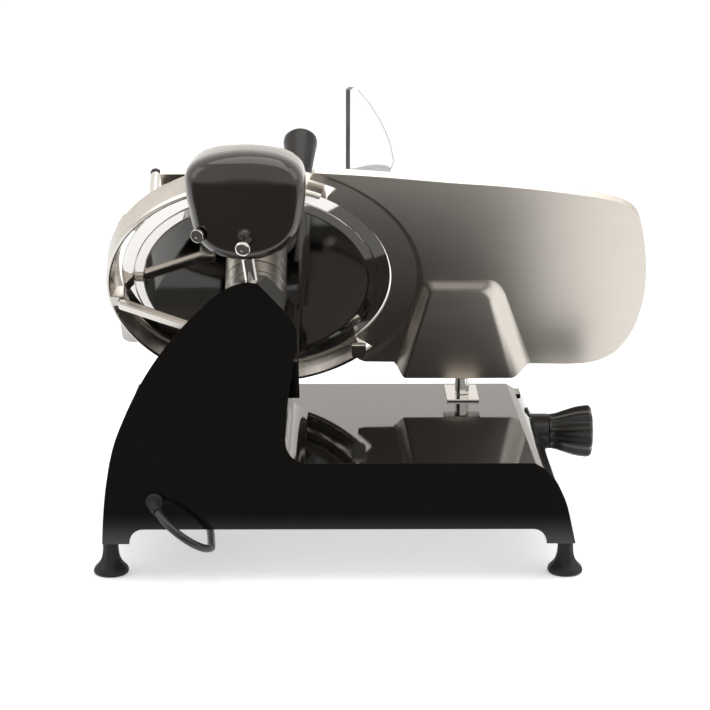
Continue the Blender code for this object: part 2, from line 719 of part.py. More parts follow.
def build_bearing_housing():
    seat = BEARING_RADIUS + GAP
    front = HUB_END + 0.0005
    first = front + 0.0010
    second = 0.0540
    profile = [(seat, front), (HUB_RADIUS, front), (HUB_RADIUS, 0.0560), (0.0370, 0.0610),
               (0.0370, COLUMN_DISTANCE - GAP), (0.0240, COLUMN_DISTANCE - GAP),
               (0.0240, COLUMN_DISTANCE + COLUMN_WALL - 0.001), (seat, COLUMN_DISTANCE + COLUMN_WALL - 0.001),
               (seat, second - GAP), (0.0125, second - GAP), (0.0125, first + BEARING_WIDTH + GAP),
               (seat, first + BEARING_WIDTH + GAP)]
    piece("hub_housing", lathe(profile, 32), satin_aluminium(), blade_frame)
    for name, start in (("bearing_front", first), ("bearing_rear", second)):
        ring = [(SHAFT_RADIUS + GAP, start), (BEARING_RADIUS, start),
                (BEARING_RADIUS, start + BEARING_WIDTH), (SHAFT_RADIUS + GAP, start + BEARING_WIDTH)]
        piece(name, lathe(ring, 28), plain_steel(), blade_frame)


def build_ring():
    """The ring guard: one funnel-shaped section swept round the blade, open at the gauge plate."""
    section = [(RING_RADIUS, 0.0125), (RING_RADIUS - 0.0015, RING_FRONT), (RING_RADIUS - 0.0043, RING_FRONT),
               (RING_INNER + 0.0008, -0.0020), (RING_INNER, -0.0090), (RING_INNER + 0.0020, -RING_BACK),
               (RING_RADIUS - 0.0025, -RING_BACK), (RING_RADIUS, -0.0095)]
    steps = 46
    rings = []
    for k in range(steps + 1):
        angle = RING_FROM + (RING_TO - RING_FROM) * k / steps
        row = []
        for r, w in section:
            slant = 0.0
            if k == 0:
                slant = 0.05 * (w + RING_BACK) / (RING_FRONT + RING_BACK)
            row.append((r * math.cos(angle + slant), r * math.sin(angle + slant), w))
        rings.append(row)
    ring = piece("blade_guard_ring", loft(rings), satin_aluminium(), blade_frame, 25.0)
    pad = slab((0.0027 - RING_RADIUS, ARM_LEFT + 0.0060), (ARM_LOW - 0.0020, ARM_HIGH + 0.0020), (0.0020, RING_FRONT))
    fuse(ring, pad)
    # A rounded pad closes the lower end of the ring on the slice side
    outline = ([(0.1031, -0.0768), (0.0890, -0.0768)] + arc((0.0950, -0.0900), 0.0060, math.pi, 1.5 * math.pi, 3)
               + arc((0.0981, -0.0910), 0.0050, 1.5 * math.pi, 2.0 * math.pi, 3))
    outline = [(x * RING_RADIUS / 0.1395, up * RING_RADIUS / 0.1395) for x, up in outline]
    fuse(ring, prism(outline, RING_FRONT - 0.0004, RING_FRONT + 0.0040))
    # The arm that carries the ring, from the column's back face
    low = RING_FRONT + GAP
    shape = [(ARM_LEFT, low), (ARM_LEFT + 0.0060, low), (-0.0530, 0.0466), (-0.0400, 0.0466),
             (-0.0400, COLUMN_DISTANCE - GAP), (-0.0550, COLUMN_DISTANCE - GAP), (-0.0550, 0.0534),
             (ARM_LEFT + 0.0015, 0.0226), (ARM_LEFT, 0.0212)]
    arm = loft([[(x, ARM_LOW, w) for x, w in shape], [(x, ARM_HIGH, w) for x, w in shape]])
    piece("ring_support_arm", arm, satin_aluminium(), blade_frame)
    soften(bpy.data.objects["ring_support_arm"], 0.0015, 35.0, 1)


def build_cover_disc():
    """The dished disc over the blade's food side, held to the ring by a tongue."""
    rim = BLADE_RADIUS - 0.0170
    profile = [(0.0, -0.0055), (rim - 0.0120, -0.0055), (rim - 0.0040, -0.0045), (rim - 0.0005, -0.0020),
               (rim, 0.0012), (rim - 0.0015, 0.0012), (rim - 0.0022, -0.0012), (rim - 0.0055, -0.0032),
               (rim - 0.0130, -0.0040), (0.0, -0.0040)]
    disc = piece("blade_cover", lathe(profile, 48), satin_aluminium(), blade_frame)
    end = RING_RADIUS - 0.0010
    tongue = [(rim - 0.0180, -0.0057), (rim - 0.0180, -0.0045), (rim - 0.0030, -0.0025),
              (rim + 0.0020, -RING_BACK - GAP), (end, -RING_BACK - GAP), (end, -RING_BACK - GAP - 0.0020),
              (rim + 0.0005, -RING_BACK - GAP - 0.0020), (rim - 0.0045, -0.0052)]
    bent = loft([[(x, -0.0080, w) for x, w in tongue], [(x, 0.0080, w) for x, w in tongue]])
    bmesh.ops.transform(bent, matrix=Matrix.Rotation(math.radians(152), 4, 'Z'), verts=bent.verts)
    fuse(disc, bent)


def build_deflector():
    """The thin upright sheet beside the column that turns the slices onto the base."""
    bent = [(0.0370, 0.0115), (0.0388, 0.0115), (0.0398, 0.0500), (0.0398, COLUMN_DISTANCE - GAP),
            (0.0130, COLUMN_DISTANCE - GAP), (0.0130, COLUMN_DISTANCE - GAP - 0.0018),
            (0.0380, COLUMN_DISTANCE - GAP - 0.0018), (0.0380, 0.0500)]
    sheet = loft([[(x, -0.0960, w) for x, w in bent], [(x, -0.0420, w) for x, w in bent]])
    piece("slice_deflector", sheet, black_plastic(), blade_frame)


# Gauge plate, its slide and the knob

gauge_frame = frame("gauge_frame", machine, (POST_X, POST_Y, BASE_TOP))
gauge_plane = frame("gauge_plane", gauge_frame,
                    (-POST_X, BLADE_CENTRE_Y - POST_Y, BLADE_CENTRE_Z - BASE_TOP), TO_BLADE)

PLATE_TOP = [(0.056, 0.145), (0.088, 0.1425), (0.123, 0.139), (0.176, 0.1325), (0.221, 0.128),
             (0.266, 0.1215), (0.306, 0.1140)]
PLATE_END = [(0.306, 0.1140), (0.330, 0.1060), (0.346, 0.0920), (0.355, 0.0640), (0.3615, 0.0270),
             (0.3645, -0.0120), (0.3630, -0.0440), (0.3580, -0.0730), (0.3480, -0.0980),
             (0.3360, -0.1120), (0.3200, -0.1195), (0.3000, -0.1215)]


def build_gauge():
    cut_top = math.radians(58.0)
    cut_low = math.radians(-42.0)
    outer = RING_RADIUS + 0.0030
    tip_angle = math.atan2(PLATE_TOP[0][1], PLATE_TOP[0][0])
    low_angle = math.atan2(-0.1175, 0.0960)
    corner = RING_RADIUS + 0.0080
    outline = ([(0.0960, -0.1175)] + [(0.3000, -0.1215)] + PLATE_END[::-1][1:-1]
               + PLATE_TOP[::-1] + arc((0, 0), outer, tip_angle, cut_top, 3)
               + arc((0, 0), PLATE_CUT, cut_top, cut_low, 30)
               + arc((0, 0), corner, cut_low, low_angle, 3))
    plate = piece("gauge_plate", prism(outline, -PLATE_FOOD_FACE, PLATE_BACK), satin_aluminium(),
                  gauge_plane, 25.0)
    step = lathe([(0.0, PLATE_BAND), (PLATE_STEP, PLATE_BAND), (PLATE_STEP + 0.0060, PLATE_BACK + 0.0008),
                  (PLATE_STEP + 0.0060, 0.02), (0.0, 0.02)], 72)
    cut(plate, step)
    foot = -0.1200
    sunk = PLATE_BACK - 0.0030
    base = [(0.1580, 0.0010), (0.2210, 0.0010), (0.2290, -0.0110), (0.2610, foot), (0.1330, foot)]
    face = [(0.1640, -0.0070), (0.2110, -0.0070), (0.2180, -0.0150), (0.2450, foot), (0.1410, foot)]
    rise = [0.0128, 0.0128, 0.0140, 0.0250, 0.0250]
    boss = loft([[(x, y, sunk) for x, y in base], [(x, y, w) for (x, y), w in zip(face, rise)]])
    fuse(plate, boss)
    pad = slab((-0.0180, 0.0180), (-0.0085, 0.0110), (FOOT_PAD_Z - BASE_TOP, FOOT_PAD_Z - BASE_TOP + 0.0130))
    fuse(plate, pad, gauge_frame)
    post = lathe([(0.0, -0.0107), (SHANK_RADIUS, -0.0107), (SHANK_RADIUS, 0.0026), (POST_RADIUS, 0.0026),
                  (POST_RADIUS, FOOT_PAD_Z - BASE_TOP - GAP), (0.0, FOOT_PAD_Z - BASE_TOP - GAP)], 28)
    piece("gauge_post", post, polished_steel(), gauge_frame)
    wide, deep, thick = COVER_PLATE_SIZE
    cover = piece("slide_cover_plate", slab((-wide / 2, wide / 2), (COVER_PLATE_BEHIND - deep, COVER_PLATE_BEHIND),
                                            (GAP, GAP + thick)), polished_steel(), gauge_frame)
    cut(cover, rod(SHANK_RADIUS + GAP, -0.01, 0.01, 28))
    top = -0.0110
    block = piece("gauge_slide_block", slab((-0.0150, 0.0110), (-0.0140, 0.0140), (top - 0.0390, top)),
                  plain_steel(), gauge_frame)
    cut(block, rod(GUIDE_ROD_RADIUS + RUNNING, -0.03, 0.03, 24,
                   turn=along_y(GUIDE_ROD_X - POST_X, 0, GUIDE_ROD_Z - BASE_TOP)))
    fuse(block, rod(PIN_RADIUS, 0.0060, CAM_START + GROOVE_DEPTH - 0.0010 - POST_X, 16,
                    turn=along_x(0, 0, KNOB_Z - BASE_TOP)))
    piece("gauge_guide_rod", rod(GUIDE_ROD_RADIUS, POST_Y - 0.0455, POST_Y + 0.0212, 24,
                                 turn=along_y(GUIDE_ROD_X, 0, GUIDE_ROD_Z)), polished_steel(), machine)


def groove_outline():
    """The spiral groove's walls: its radius falls evenly while the knob turns through its range."""
    half = PIN_RADIUS + PIN_CLEAR
    steps = 32

    def at(k, side):
        turn = -KNOB_RANGE * k / steps
        radius = SPIRAL_OUTER - GAUGE_TRAVEL * k / steps
        # The path crosses the radius at a slant, more so near the middle
        slant = math.hypot(1.0, GAUGE_TRAVEL / KNOB_RANGE / radius)
        return (turn, radius + side * half * slant)

    def point(turn, radius):
        return (radius * math.cos(turn), radius * math.sin(turn))

    outer = [point(*at(k, 1)) for k in range(steps + 1)]
    inner = [point(*at(k, -1)) for k in range(steps + 1)]
    first = arc(point(0.0, SPIRAL_OUTER), half, math.pi, 0.0, 6)[1:-1]
    last_turn = -KNOB_RANGE
    last = arc(point(last_turn, SPIRAL_OUTER - GAUGE_TRAVEL), half, last_turn, last_turn - math.pi, 6)[1:-1]
    return inner[::-1] + first + outer + last


def build_knob():
    axis = frame("knob_axis", machine, (0, KNOB_Y, KNOB_Z), (math.pi / 2, 0, math.pi / 2))
    # Local X is +Y, local Y is +Z and local Z is +X
    bore = KNOB_SHAFT_RADIUS + GAP
    length = KNOB_END - KNOB_START
    profile = [(bore, KNOB_START), (KNOB_NECK, KNOB_START), (KNOB_NECK * 1.06, KNOB_START + 0.16 * length),
               (KNOB_NECK * 1.25, KNOB_START + 0.38 * length), (KNOB_RIM * 0.95, KNOB_START + 0.62 * length),
               (KNOB_RIM, KNOB_START + 0.86 * length), (KNOB_RIM * 0.94, KNOB_START + 0.93 * length),
               (KNOB_RIM * 0.62, KNOB_START + 0.985 * length), (0.0, KNOB_END),
               (0.0, KNOB_START + 0.5 * length), (bore, KNOB_START + 0.5 * length)]
    piece("thickness_knob", lathe(profile, 40, KNOB_LOBES, 0.085), black_plastic(), axis, 40.0)
    shaft_start = CAM_START + GROOVE_DEPTH + 0.0008
    piece("knob_shaft", rod(KNOB_SHAFT_RADIUS, shaft_start, KNOB_START + 0.5 * length - GAP, 24),
          polished_steel(), axis)
    disc_end = CAM_START + CAM_THICKNESS
    cam = piece("spiral_cam", lathe([(0.0, CAM_START), (CAM_RADIUS, CAM_START), (CAM_RADIUS, disc_end),
                                     (0.0120, disc_end), (0.0120, disc_end + 0.0110), (0.0, disc_end + 0.0110)],
                                    36), plain_steel(), axis)
    cut(cam, prism(groove_outline(), CAM_START - 0.01, CAM_START + GROOVE_DEPTH))
    cut(cam, rod(bore, CAM_START + GROOVE_DEPTH + 0.0005, disc_end + 0.02, 24))
    # Fixed dial plate on the sloping wall, with the bush that the shaft turns in
    dial = piece("dial_plate", rod(KNOB_NECK, BUSH_START - 0.005, KNOB_START - 0.0005, 28,
                                   turn=along_x(0, KNOB_Y, KNOB_Z)), black_plastic(), machine)
    wall_side = slab((-0.05, 0.05), (-0.05, 0.05), (-0.05, 0.0001))
    bmesh.ops.transform(wall_side, matrix=dial_place(), verts=wall_side.verts)
    cut(dial, wall_side)
    fuse(dial, lathe([(0.0, 0.0), (DIAL_RADIUS, 0.0), (DIAL_RADIUS, DIAL_THICKNESS),
                      (0.0, DIAL_THICKNESS)], 52, 26, 0.04, turn=dial_place()))
    fuse(dial, rod(KNOB_NECK - 0.004, BUSH_START, KNOB_START - 0.0060, 28, turn=along_x(0, KNOB_Y, KNOB_Z)))
    cut(dial, rod(KNOB_SHAFT_RADIUS + RUNNING, 0.2500, 0.2900, 24, turn=along_x(0, KNOB_Y, KNOB_Z)))


# Carriage

carriage_frame = frame("carriage_frame", machine, (0, BAR_Y, BAR_Z))
tray_frame = frame("tray_frame", carriage_frame, (0, BLADE_CENTRE_Y - BAR_Y, BLADE_CENTRE_Z - BAR_Z), TO_BLADE)


def build_carriage():
    piece("carriage_guide_bar", rod(BAR_RADIUS, BAR_LEFT, BAR_RIGHT, 28, turn=along_x(0, BAR_Y, BAR_Z)),
          polished_steel(), machine)
    block = piece("carriage_slide_block", slab((BLOCK_LEFT, BLOCK_RIGHT), (-0.0095, 0.0097), (-0.0140, 0.0140)),
                  plain_steel(), carriage_frame)
    cut(block, rod(BAR_RADIUS + RUNNING, -0.1, 0.1, 28, turn=along_x(0, 0, 0)))
    # Arm: a foot through the slot, an upright leg, and a flange under the tray
    foot_left = BLOCK_LEFT + 0.010
    foot_right = BLOCK_RIGHT - 0.010
    arm = piece("carriage_arm", slab((foot_left, foot_right), (0.0097 + GAP, 0.0340), (-0.0060, 0.0100)),
                satin_aluminium(), carriage_frame)
    fuse(arm, slab((foot_left + 0.004, foot_right - 0.004), (0.0200, 0.0330), (-0.0050, 0.1100)))
    fuse(arm, slab((BLOCK_LEFT - 0.005, BLOCK_RIGHT + 0.005),
                   (TRAY_FLOOR - TRAY_THICKNESS - GAP - 0.0060, TRAY_FLOOR - TRAY_THICKNESS - GAP),
                   (-0.1150, -0.0400)), tray_frame)
    middle = (BLOCK_LEFT + BLOCK_RIGHT) / 2
    roller_y = BASE_DEPTH + GAP + ROLLER_RADIUS - BAR_Y
    fuse(arm, rod(0.0025, -0.0205, -0.0050, 12, turn=move(middle, roller_y, 0)))
    roller_axis = frame("roller_axis", carriage_frame, (middle, roller_y, 0))
    piece("carriage_roller", tube(0.0028, ROLLER_RADIUS, -0.0190, -0.0066, 24), plain_steel(), roller_axis)
    # Food tray
    near = -TRAY_NEAR
    far = -TRAY_FAR
    low = TRAY_FLOOR - TRAY_THICKNESS
    tray = piece("carriage_tray", slab((TRAY_LEFT, TRAY_WALL), (low, TRAY_FLOOR), (far, near)),
                 satin_aluminium(), tray_frame)
    wall = ([(near, low + 0.001), (near, 0.006)] + arc((near - 0.018, 0.006), 0.018, 0.0, math.pi / 2, 4)[1:]
            + [(-0.1080, 0.0210), (-0.1500, -0.0230), (-0.2000, -0.0740), (far, -0.1040), (far, low + 0.001)])
    fuse(tray, loft([[(TRAY_WALL - 0.0060, u, w) for w, u in wall], [(TRAY_WALL, u, w) for w, u in wall]]))
    fuse(tray, slab((TRAY_LEFT, TRAY_LEFT + 0.0050), (TRAY_FLOOR - 0.001, TRAY_FLOOR + 0.0095), (far, near)))
    # Rounded bracket for the press rod, beside the tray's near left corner
    corner = 0.0090
    bracket = [(TRAY_LEFT + 0.0080, low), (TRAY_LEFT + 0.0080, ROD_UP + 0.0110)]
    bracket += [(BRACKET_LEFT + corner, ROD_UP + 0.0110)]
    bracket += arc((BRACKET_LEFT + corner, ROD_UP + 0.0110 - corner), corner, math.pi / 2, math.pi, 4)[1:]
    bracket += arc((BRACKET_LEFT + corner, low + corner), corner, math.pi, 1.5 * math.pi, 4)
    fuse(tray, prism(bracket, near - 0.0190, near))
    cut(tray, rod(ROD_RADIUS + GAP, near - 0.03, near - 0.0030, 24, turn=move(ROD_X, ROD_UP, 0)))
    piece("press_rod", rod(ROD_RADIUS, -ROD_END, near - 0.0033, 24, turn=move(ROD_X, ROD_UP, 0)),
          polished_steel(), tray_frame)
    cap = lathe([(0.0, -ROD_END - 0.0060), (0.0042, -ROD_END - 0.0055), (0.0054, -ROD_END - 0.0035),
                 (0.0054, -ROD_END - GAP), (0.0, -ROD_END - GAP)], 24, turn=move(ROD_X, ROD_UP, 0))
    piece("press_rod_cap", cap, black_plastic(), tray_frame)
    # Push handle at the tray's far right corner
    handle = [(0.0, 0.0), (0.0095, 0.0), (0.0100, 0.0060), (0.0132, 0.0200), (0.0138, 0.0340),
              (0.0118, 0.0430), (0.0060, 0.0470), (0.0, 0.0480)]
    up, deep = HANDLE_PLACE
    fuse(tray, slab((TRAY_WALL - 0.0060, TRAY_WALL), (up - 0.0145, up + 0.0145), (deep - 0.0140, deep + 0.0140)))
    piece("carriage_handle", lathe(handle, 28, turn=move(TRAY_WALL + GAP, up, deep)
                                   @ Matrix.Rotation(math.pi / 2, 4, 'Y')), black_plastic(), tray_frame)


def build_guard():
    """The clear hand guard: a quarter-round sheet turned a little away from the tray's wall."""
    turn = math.radians(19.0)
    sheet = 0.0042
    near = -0.108
    height_low = -0.0950
    height_top = 0.1378
    outline = [(0.0, height_low), (0.1450, height_low), (0.1270, -0.0475), (0.0982, 0.0061), (0.0800, 0.0350),
               (0.0619, 0.0638), (0.0419, 0.0925), (0.0330, 0.1050), (0.0258, 0.1155), (0.0180, 0.1245),
               (0.0110, 0.1310), (0.0060, 0.1350), (0.0, height_top)]
    start = TRAY_WALL + GAP
    direction = Vector((math.sin(turn), 0, -math.cos(turn)))
    side = Vector((math.cos(turn), 0, math.sin(turn))) * sheet
    shift = abs(min(0.0, side.z))
    origin = Vector((start, 0, near - shift))
    ring_1 = [tuple(origin + direction * d + Vector((0, u, 0))) for d, u in outline]
    ring_2 = [tuple(origin + direction * d + Vector((0, u, 0)) + side) for d, u in outline]
    piece("hand_guard", loft([ring_1, ring_2]), paint("clear_acrylic", (0.9, 0.93, 0.95), 0.05, 0.0, 0.35),
          tray_frame)


def build_press():
    slide = frame("press_slide_frame", tray_frame, (ROD_X, ROD_UP, 0))
    bore = ROD_RADIUS + RUNNING
    hub_low = -SLEEVE_START - 0.0050
    hub_high = -SLEEVE_END + 0.0180
    profile = [(bore, -SLEEVE_END), (0.0125, -SLEEVE_END), (0.0135, -SLEEVE_END + 0.0020),
               (0.0135, hub_high), (SLEEVE_RADIUS, hub_high), (SLEEVE_RADIUS, hub_low),
               (0.0135, hub_low), (0.0135, -SLEEVE_START), (bore, -SLEEVE_START)]
    piece("press_slider", lathe(profile, 24), black_plastic(), slide)
    swing = frame("press_swing_frame", slide)
    arm = piece("press_arm", tube(SLEEVE_RADIUS + RUNNING, 0.0135, hub_high + GAP, hub_low - GAP, 28),
                satin_aluminium(), swing)
    reach = (0.0050 - ROD_X, 0.0300 - ROD_UP)
    low = hub_high + 0.0040
    high = hub_low - GAP
    heading = math.atan2(reach[1], reach[0])
    width = 0.0105
    bar = ([(0.0110 * math.cos(heading), 0.0110 * math.sin(heading))])
    bar = arc((0, 0), 0.0118, heading - 0.85, heading + 0.85, 4)
    bar += arc(reach, width, heading + math.pi / 2, heading - math.pi / 2, 6)
    fuse(arm, prism(bar, low, high))
    back = -PRESS_NEAR - PRESS_THICKNESS - GAP
    fuse(arm, rod(width * 1.25, low, back, 24, turn=move(*reach, 0)))
    # Toothed plate: a thick sheet whose blade-side face carries rows of points
    left, right = -0.0830 - ROD_X, 0.0660 - ROD_X
    bottom, top = -0.1035 - ROD_UP, 0.1190 - ROD_UP
    cut_corner = 0.030
    data = bmesh.new()
    columns, rows = 8, 11
    front = -PRESS_NEAR
    rear = -PRESS_NEAR - PRESS_THICKNESS
    grid = [[data.verts.new((left + (right - left) * i / columns, bottom + (top - bottom) * j / rows, front))
             for i in range(columns + 1)] for j in range(rows + 1)]
    faces = []
    for j in range(rows):
        for i in range(columns):
            faces.append(data.faces.new((grid[j][i], grid[j][i + 1], grid[j + 1][i + 1], grid[j + 1][i])))
    border = (grid[0] + [row[-1] for row in grid[1:]] + grid[-1][-2::-1]
              + [row[0] for row in grid[-2:0:-1]])
    behind = [data.verts.new((v.co.x, v.co.y, rear)) for v in border]
    for k in range(len(border)):
        n = (k + 1) % len(border)
        data.faces.new((border[k], border[n], behind[n], behind[k]))
    data.faces.new(behind)
    inner = [f for f in faces if all(left + 0.01 < v.co.x < right - 0.01
                                     and bottom + 0.01 < v.co.y < top - 0.01 for v in f.verts)]
    picked = [f for n, f in enumerate(inner) if (n // (columns - 2) + n % (columns - 2)) % 2 == 0]
    bmesh.ops.inset_individual(data, faces=picked, thickness=0.0052)
    for face in picked:
        centre = face.calc_center_median()
        tip = bmesh.ops.poke(data, faces=[face])["verts"][0]
        tip.co = centre + Vector((0, 0, 0.0034))
    plate = piece("press_plate", data, satin_aluminium(), swing)
    # Round the upper right corner, as the real plate's
    corner = [(right + 0.001, top + 0.001), (right - cut_corner, top + 0.001)]
    corner += arc((right - cut_corner, top - cut_corner), cut_corner, math.pi / 2, 0.0, 6)
    cut(plate, prism(corner[1:] + [corner[0]], rear - 0.001, front + 0.001))
    grip = [(0.0, back), (0.0105, back), (0.0098, -0.0450), (0.0108, -0.0700), (0.0140, -0.0980),
            (0.0160, -0.1120), (0.0155, -0.1160), (0.0110, -0.1195), (0.0, -0.1205)]
    piece("press_handle", lathe(grip, 28, turn=move(0.0410 - ROD_X, 0.0640 - ROD_UP, 0)),
          black_plastic(), swing)


# Sharpener

SHIELD = [(-0.0040, 0.2895), (-0.0220, 0.2925), (-0.0360, 0.3000), (-0.0450, 0.3130), (-0.0490, 0.3300),
          (-0.0525, 0.3500), (-0.0515, 0.3660), (-0.0400, 0.3765), (-0.0180, 0.3825), (0.0060, 0.3835),
          (0.0300, 0.3790), (0.0450, 0.3685), (0.0495, 0.3520), (0.0475, 0.3300), (0.0430, 0.3130),
          (0.0320, 0.3000), (0.0140, 0.2915)]
SHIELD_MIDDLE = (-0.0020, 0.3390)


def stone_reach(head, heading, clear):
    """How far along its axis a stone's face lies so far before the blade's plane."""
    step = Vector(heading).normalized()
    out = -COS * (head[1] - BLADE_CENTRE_Y) - SIN * (head[2] - BLADE_CENTRE_Z)
    return (out - clear) / (COS * step.y + SIN * step.z)


GRIND_HEAD = (-0.0030, -0.0400, 0.3064)
GRIND_ALONG = (0.218, 0.968, 0.124)
GRIND_REACH = stone_reach(GRIND_HEAD, GRIND_ALONG, STONE_CLEAR)
DEBURR_HEAD = (-0.0419, -0.0200, 0.3140)
DEBURR_ALONG = (0.373, 0.922, 0.101)
DEBURR_REACH = stone_reach(DEBURR_HEAD, DEBURR_ALONG, STONE_CLEAR)
HELMET_BACK = 0.0192


def shield(share, depth):
    """The shield outline shrunk about its middle; depth is a number or a function of height."""
    cx, cz = SHIELD_MIDDLE
    ring = []
    for x, z in smooth(SHIELD, 2, closed=True):
        px = cx + (x - cx) * share
        pz = cz + (z - cz) * share
        ring.append((px, depth(pz) if callable(depth) else depth, pz))
    return ring


def build_sharpener():
    def back(z):
        return column_back(z, HELMET_BACK)

    outside = [shield(0.70, -0.0165), shield(0.86, -0.0130), shield(0.955, -0.0050), shield(1.0, 0.0080),
               shield(1.0, 0.0300), shield(0.985, back)]
    hollow = [shield(0.64, -0.0135), shield(0.80, -0.0100), shield(0.895, -0.0020), shield(0.94, 0.0090),
              shield(0.925, lambda z: back(z) + 0.004)]
    cover = piece("sharpener_cover", loft(outside), black_gloss(), machine, 50.0)
    cut(cover, loft(hollow))
    spindles = (("grinding", GRIND_HEAD, GRIND_ALONG, GRIND_REACH),
                ("deburring", DEBURR_HEAD, DEBURR_ALONG, DEBURR_REACH))
    for _, start, heading, _ in spindles:
        cut(cover, rod(STEM_RADIUS + RUNNING, -0.01, 0.0750, 16, turn=along(heading, start)))
    # The deburring button's head sinks into the cover when it is pushed
    cut(cover, rod(DEBURR_HEAD_RADIUS + GAP, -0.01, 0.0065 + BUTTON_TRAVEL, 24,
                   turn=along(DEBURR_ALONG, DEBURR_HEAD)))
    lean = Vector((-SHARP_LEAN, 0.0, 1.0)).normalized()
    foot = (SHARP_TOP_X + SHARP_LEAN * 0.047, SHARP_POST_Y, 0.2553)
    cut(cover, rod(SHARP_POST_RADIUS + GAP, 0.0200, 0.0520, 20, turn=along(lean, foot)))
    # Back plate, parallel to the blade, closes the cover
    plate_high = HELMET_BACK - GAP
    rim = [(x, (z - BLADE_CENTRE_Z + SIN * plate_high) / COS) for x, _, z in shield(0.965, back)]
    plate = piece("sharpener_base", prism(rim, plate_high - 0.0026, plate_high), satin_aluminium(), blade_frame)
    for _, start, heading, _ in spindles:
        cut(plate, rod(STONE_RADIUS + 0.0015, 0.08, 0.20, 24, turn=along(heading, start)), machine)
    # Leaning post from the column, with the bracket that carries the back plate
    post = piece("sharpener_post", rod(SHARP_POST_RADIUS, 0.0, 0.0490, 24, turn=along(lean, foot)),
                 polished_steel(), machine)
    low, high = 0.2955, 0.3025
    gap = plate_high + GAP
    bar = [(SHARP_POST_Y - 0.003, low), (column_back(low, gap), low),
           (column_back(high, gap), high), (SHARP_POST_Y - 0.003, high)]
    fuse(post, loft([[(SHARP_TOP_X - 0.0052, y, z) for y, z in bar],
                     [(SHARP_TOP_X + 0.0052, y, z) for y, z in bar]]))
    for name, start, heading, reach in spindles:
        axis = frame(name + "_axis", machine, start, Vector(heading).to_track_quat('Z', 'Y').to_euler())
        stem = reach - 0.0083
        if name == "grinding":
            knob = [(0.0, 0.0), (0.0046, 0.0), (0.0062, 0.0008), (0.0064, 0.0022), (0.0050, 0.0040),
                    (STEM_RADIUS, 0.0060), (STEM_RADIUS, stem), (0.0, stem)]
        else:
            knob = [(0.0, 0.0), (0.0054, 0.0), (DEBURR_HEAD_RADIUS, 0.0008), (DEBURR_HEAD_RADIUS, 0.0042),
                    (0.0042, 0.0048),
                    (STEM_RADIUS, 0.0060), (STEM_RADIUS, stem), (0.0, stem)]
        piece(name + "_button", lathe(knob, 16), polished_steel(), axis)
        piece(name + "_stone", rod(STONE_RADIUS, reach - 0.0080, reach, 20),
              paint("grey_stone", (0.25, 0.24, 0.23), 0.8), axis)


def build_switch():
    high, wide = SWITCH_HALF
    housing = piece("switch_housing", slab((-high, high), (-wide, wide), (0.0, 0.0018)),
                    black_plastic(), switch_frame)
    high, wide = high - SWITCH_LIP, wide - SWITCH_LIP
    fuse(housing, slab((-high, high), (-wide, wide), (-0.0170, 0.0010)))
    for name, y, colour in (("off_button", -0.0110, (0.60, 0.03, 0.02)), ("on_button", 0.0110, (0.02, 0.35, 0.08))):
        cut(housing, rod(SWITCH_BUTTON + GAP, -0.0120, 0.01, 24, turn=move(0, y, 0)))
        axis = frame(name + "_axis", switch_frame, (0, y, 0))
        push = [(0.0, -0.0095), (SWITCH_BUTTON, -0.0095), (SWITCH_BUTTON, 0.0018),
                (SWITCH_BUTTON - 0.0008, 0.0025), (0.0, 0.0025)]
        piece(name, lathe(push, 24), paint(name + "_plastic", colour, 0.3), axis)


# Mains lead

LEAD_TURN = 0.0287        # bend radius where the lead turns back under the base
LEAD_STRAIGHT = 0.0040
LEAD_ACROSS = (0.80, -0.60)
RELIEF_ANGLE = math.radians(38.0)
ROUTE = [(-0.0370, 0.0300, 0.0380), (-0.0420, 0.0700, 0.0335), (-0.0455, 0.1100, 0.0257),
         (-0.0475, 0.1500, 0.0160), (-0.0480, 0.1850, 0.0088), (-0.0440, 0.2150, 0.0050),
         (-0.0350, 0.2450, 0.0039), (-0.0210, 0.2750, 0.0038), (-0.0060, 0.3010, 0.0038),
         (0.0070, 0.3230, 0.0038), (0.0140, 0.3420, 0.0038)]


def lead_turn(angle):
    """A point of the lead's half turn in front of the base, after so much of the bend."""
    x, z = CORD_EXIT
    across = LEAD_TURN * (1.0 - math.cos(angle))
    return (x + LEAD_ACROSS[0] * across, -LEAD_STRAIGHT - LEAD_TURN * math.sin(angle),
            z + LEAD_ACROSS[1] * across)


def path_length(points):
    return sum((Vector(b) - Vector(a)).length for a, b in zip(points, points[1:]))


def spaced(points, step):
    """Points at an even spacing along a finely read curve, both ends kept."""
    total = path_length(points)
    count = max(2, round(total / step))
    result = [points[0]]
    walked = 0.0
    target = total / count
    for a, b in zip(points, points[1:]):
        length = (Vector(b) - Vector(a)).length
        while target <= walked + length + 1e-9 and len(result) < count:
            share = (target - walked) / length
            result.append(tuple(Vector(a).lerp(Vector(b), share)))
            target += total / count
        walked += length
    result.append(points[-1])
    return result


def cable(name, points, resolution, parent):
    """A capped tube along a chain of points."""
    curve = bpy.data.curves.new(name, 'CURVE')
    curve.dimensions = '3D'
    curve.bevel_depth = CORD_RADIUS
    curve.bevel_resolution = resolution
    curve.use_fill_caps = True
    line = curve.splines.new('POLY')
    line.points.add(len(points) - 1)
    for point, place in zip(line.points, points):
        point.co = (*place, 1.0)
    obj = bpy.data.objects.new(name, curve)
    bpy.context.scene.collection.objects.link(obj)
    curve.materials.append(black_rubber())
    obj.parent = parent
    return obj


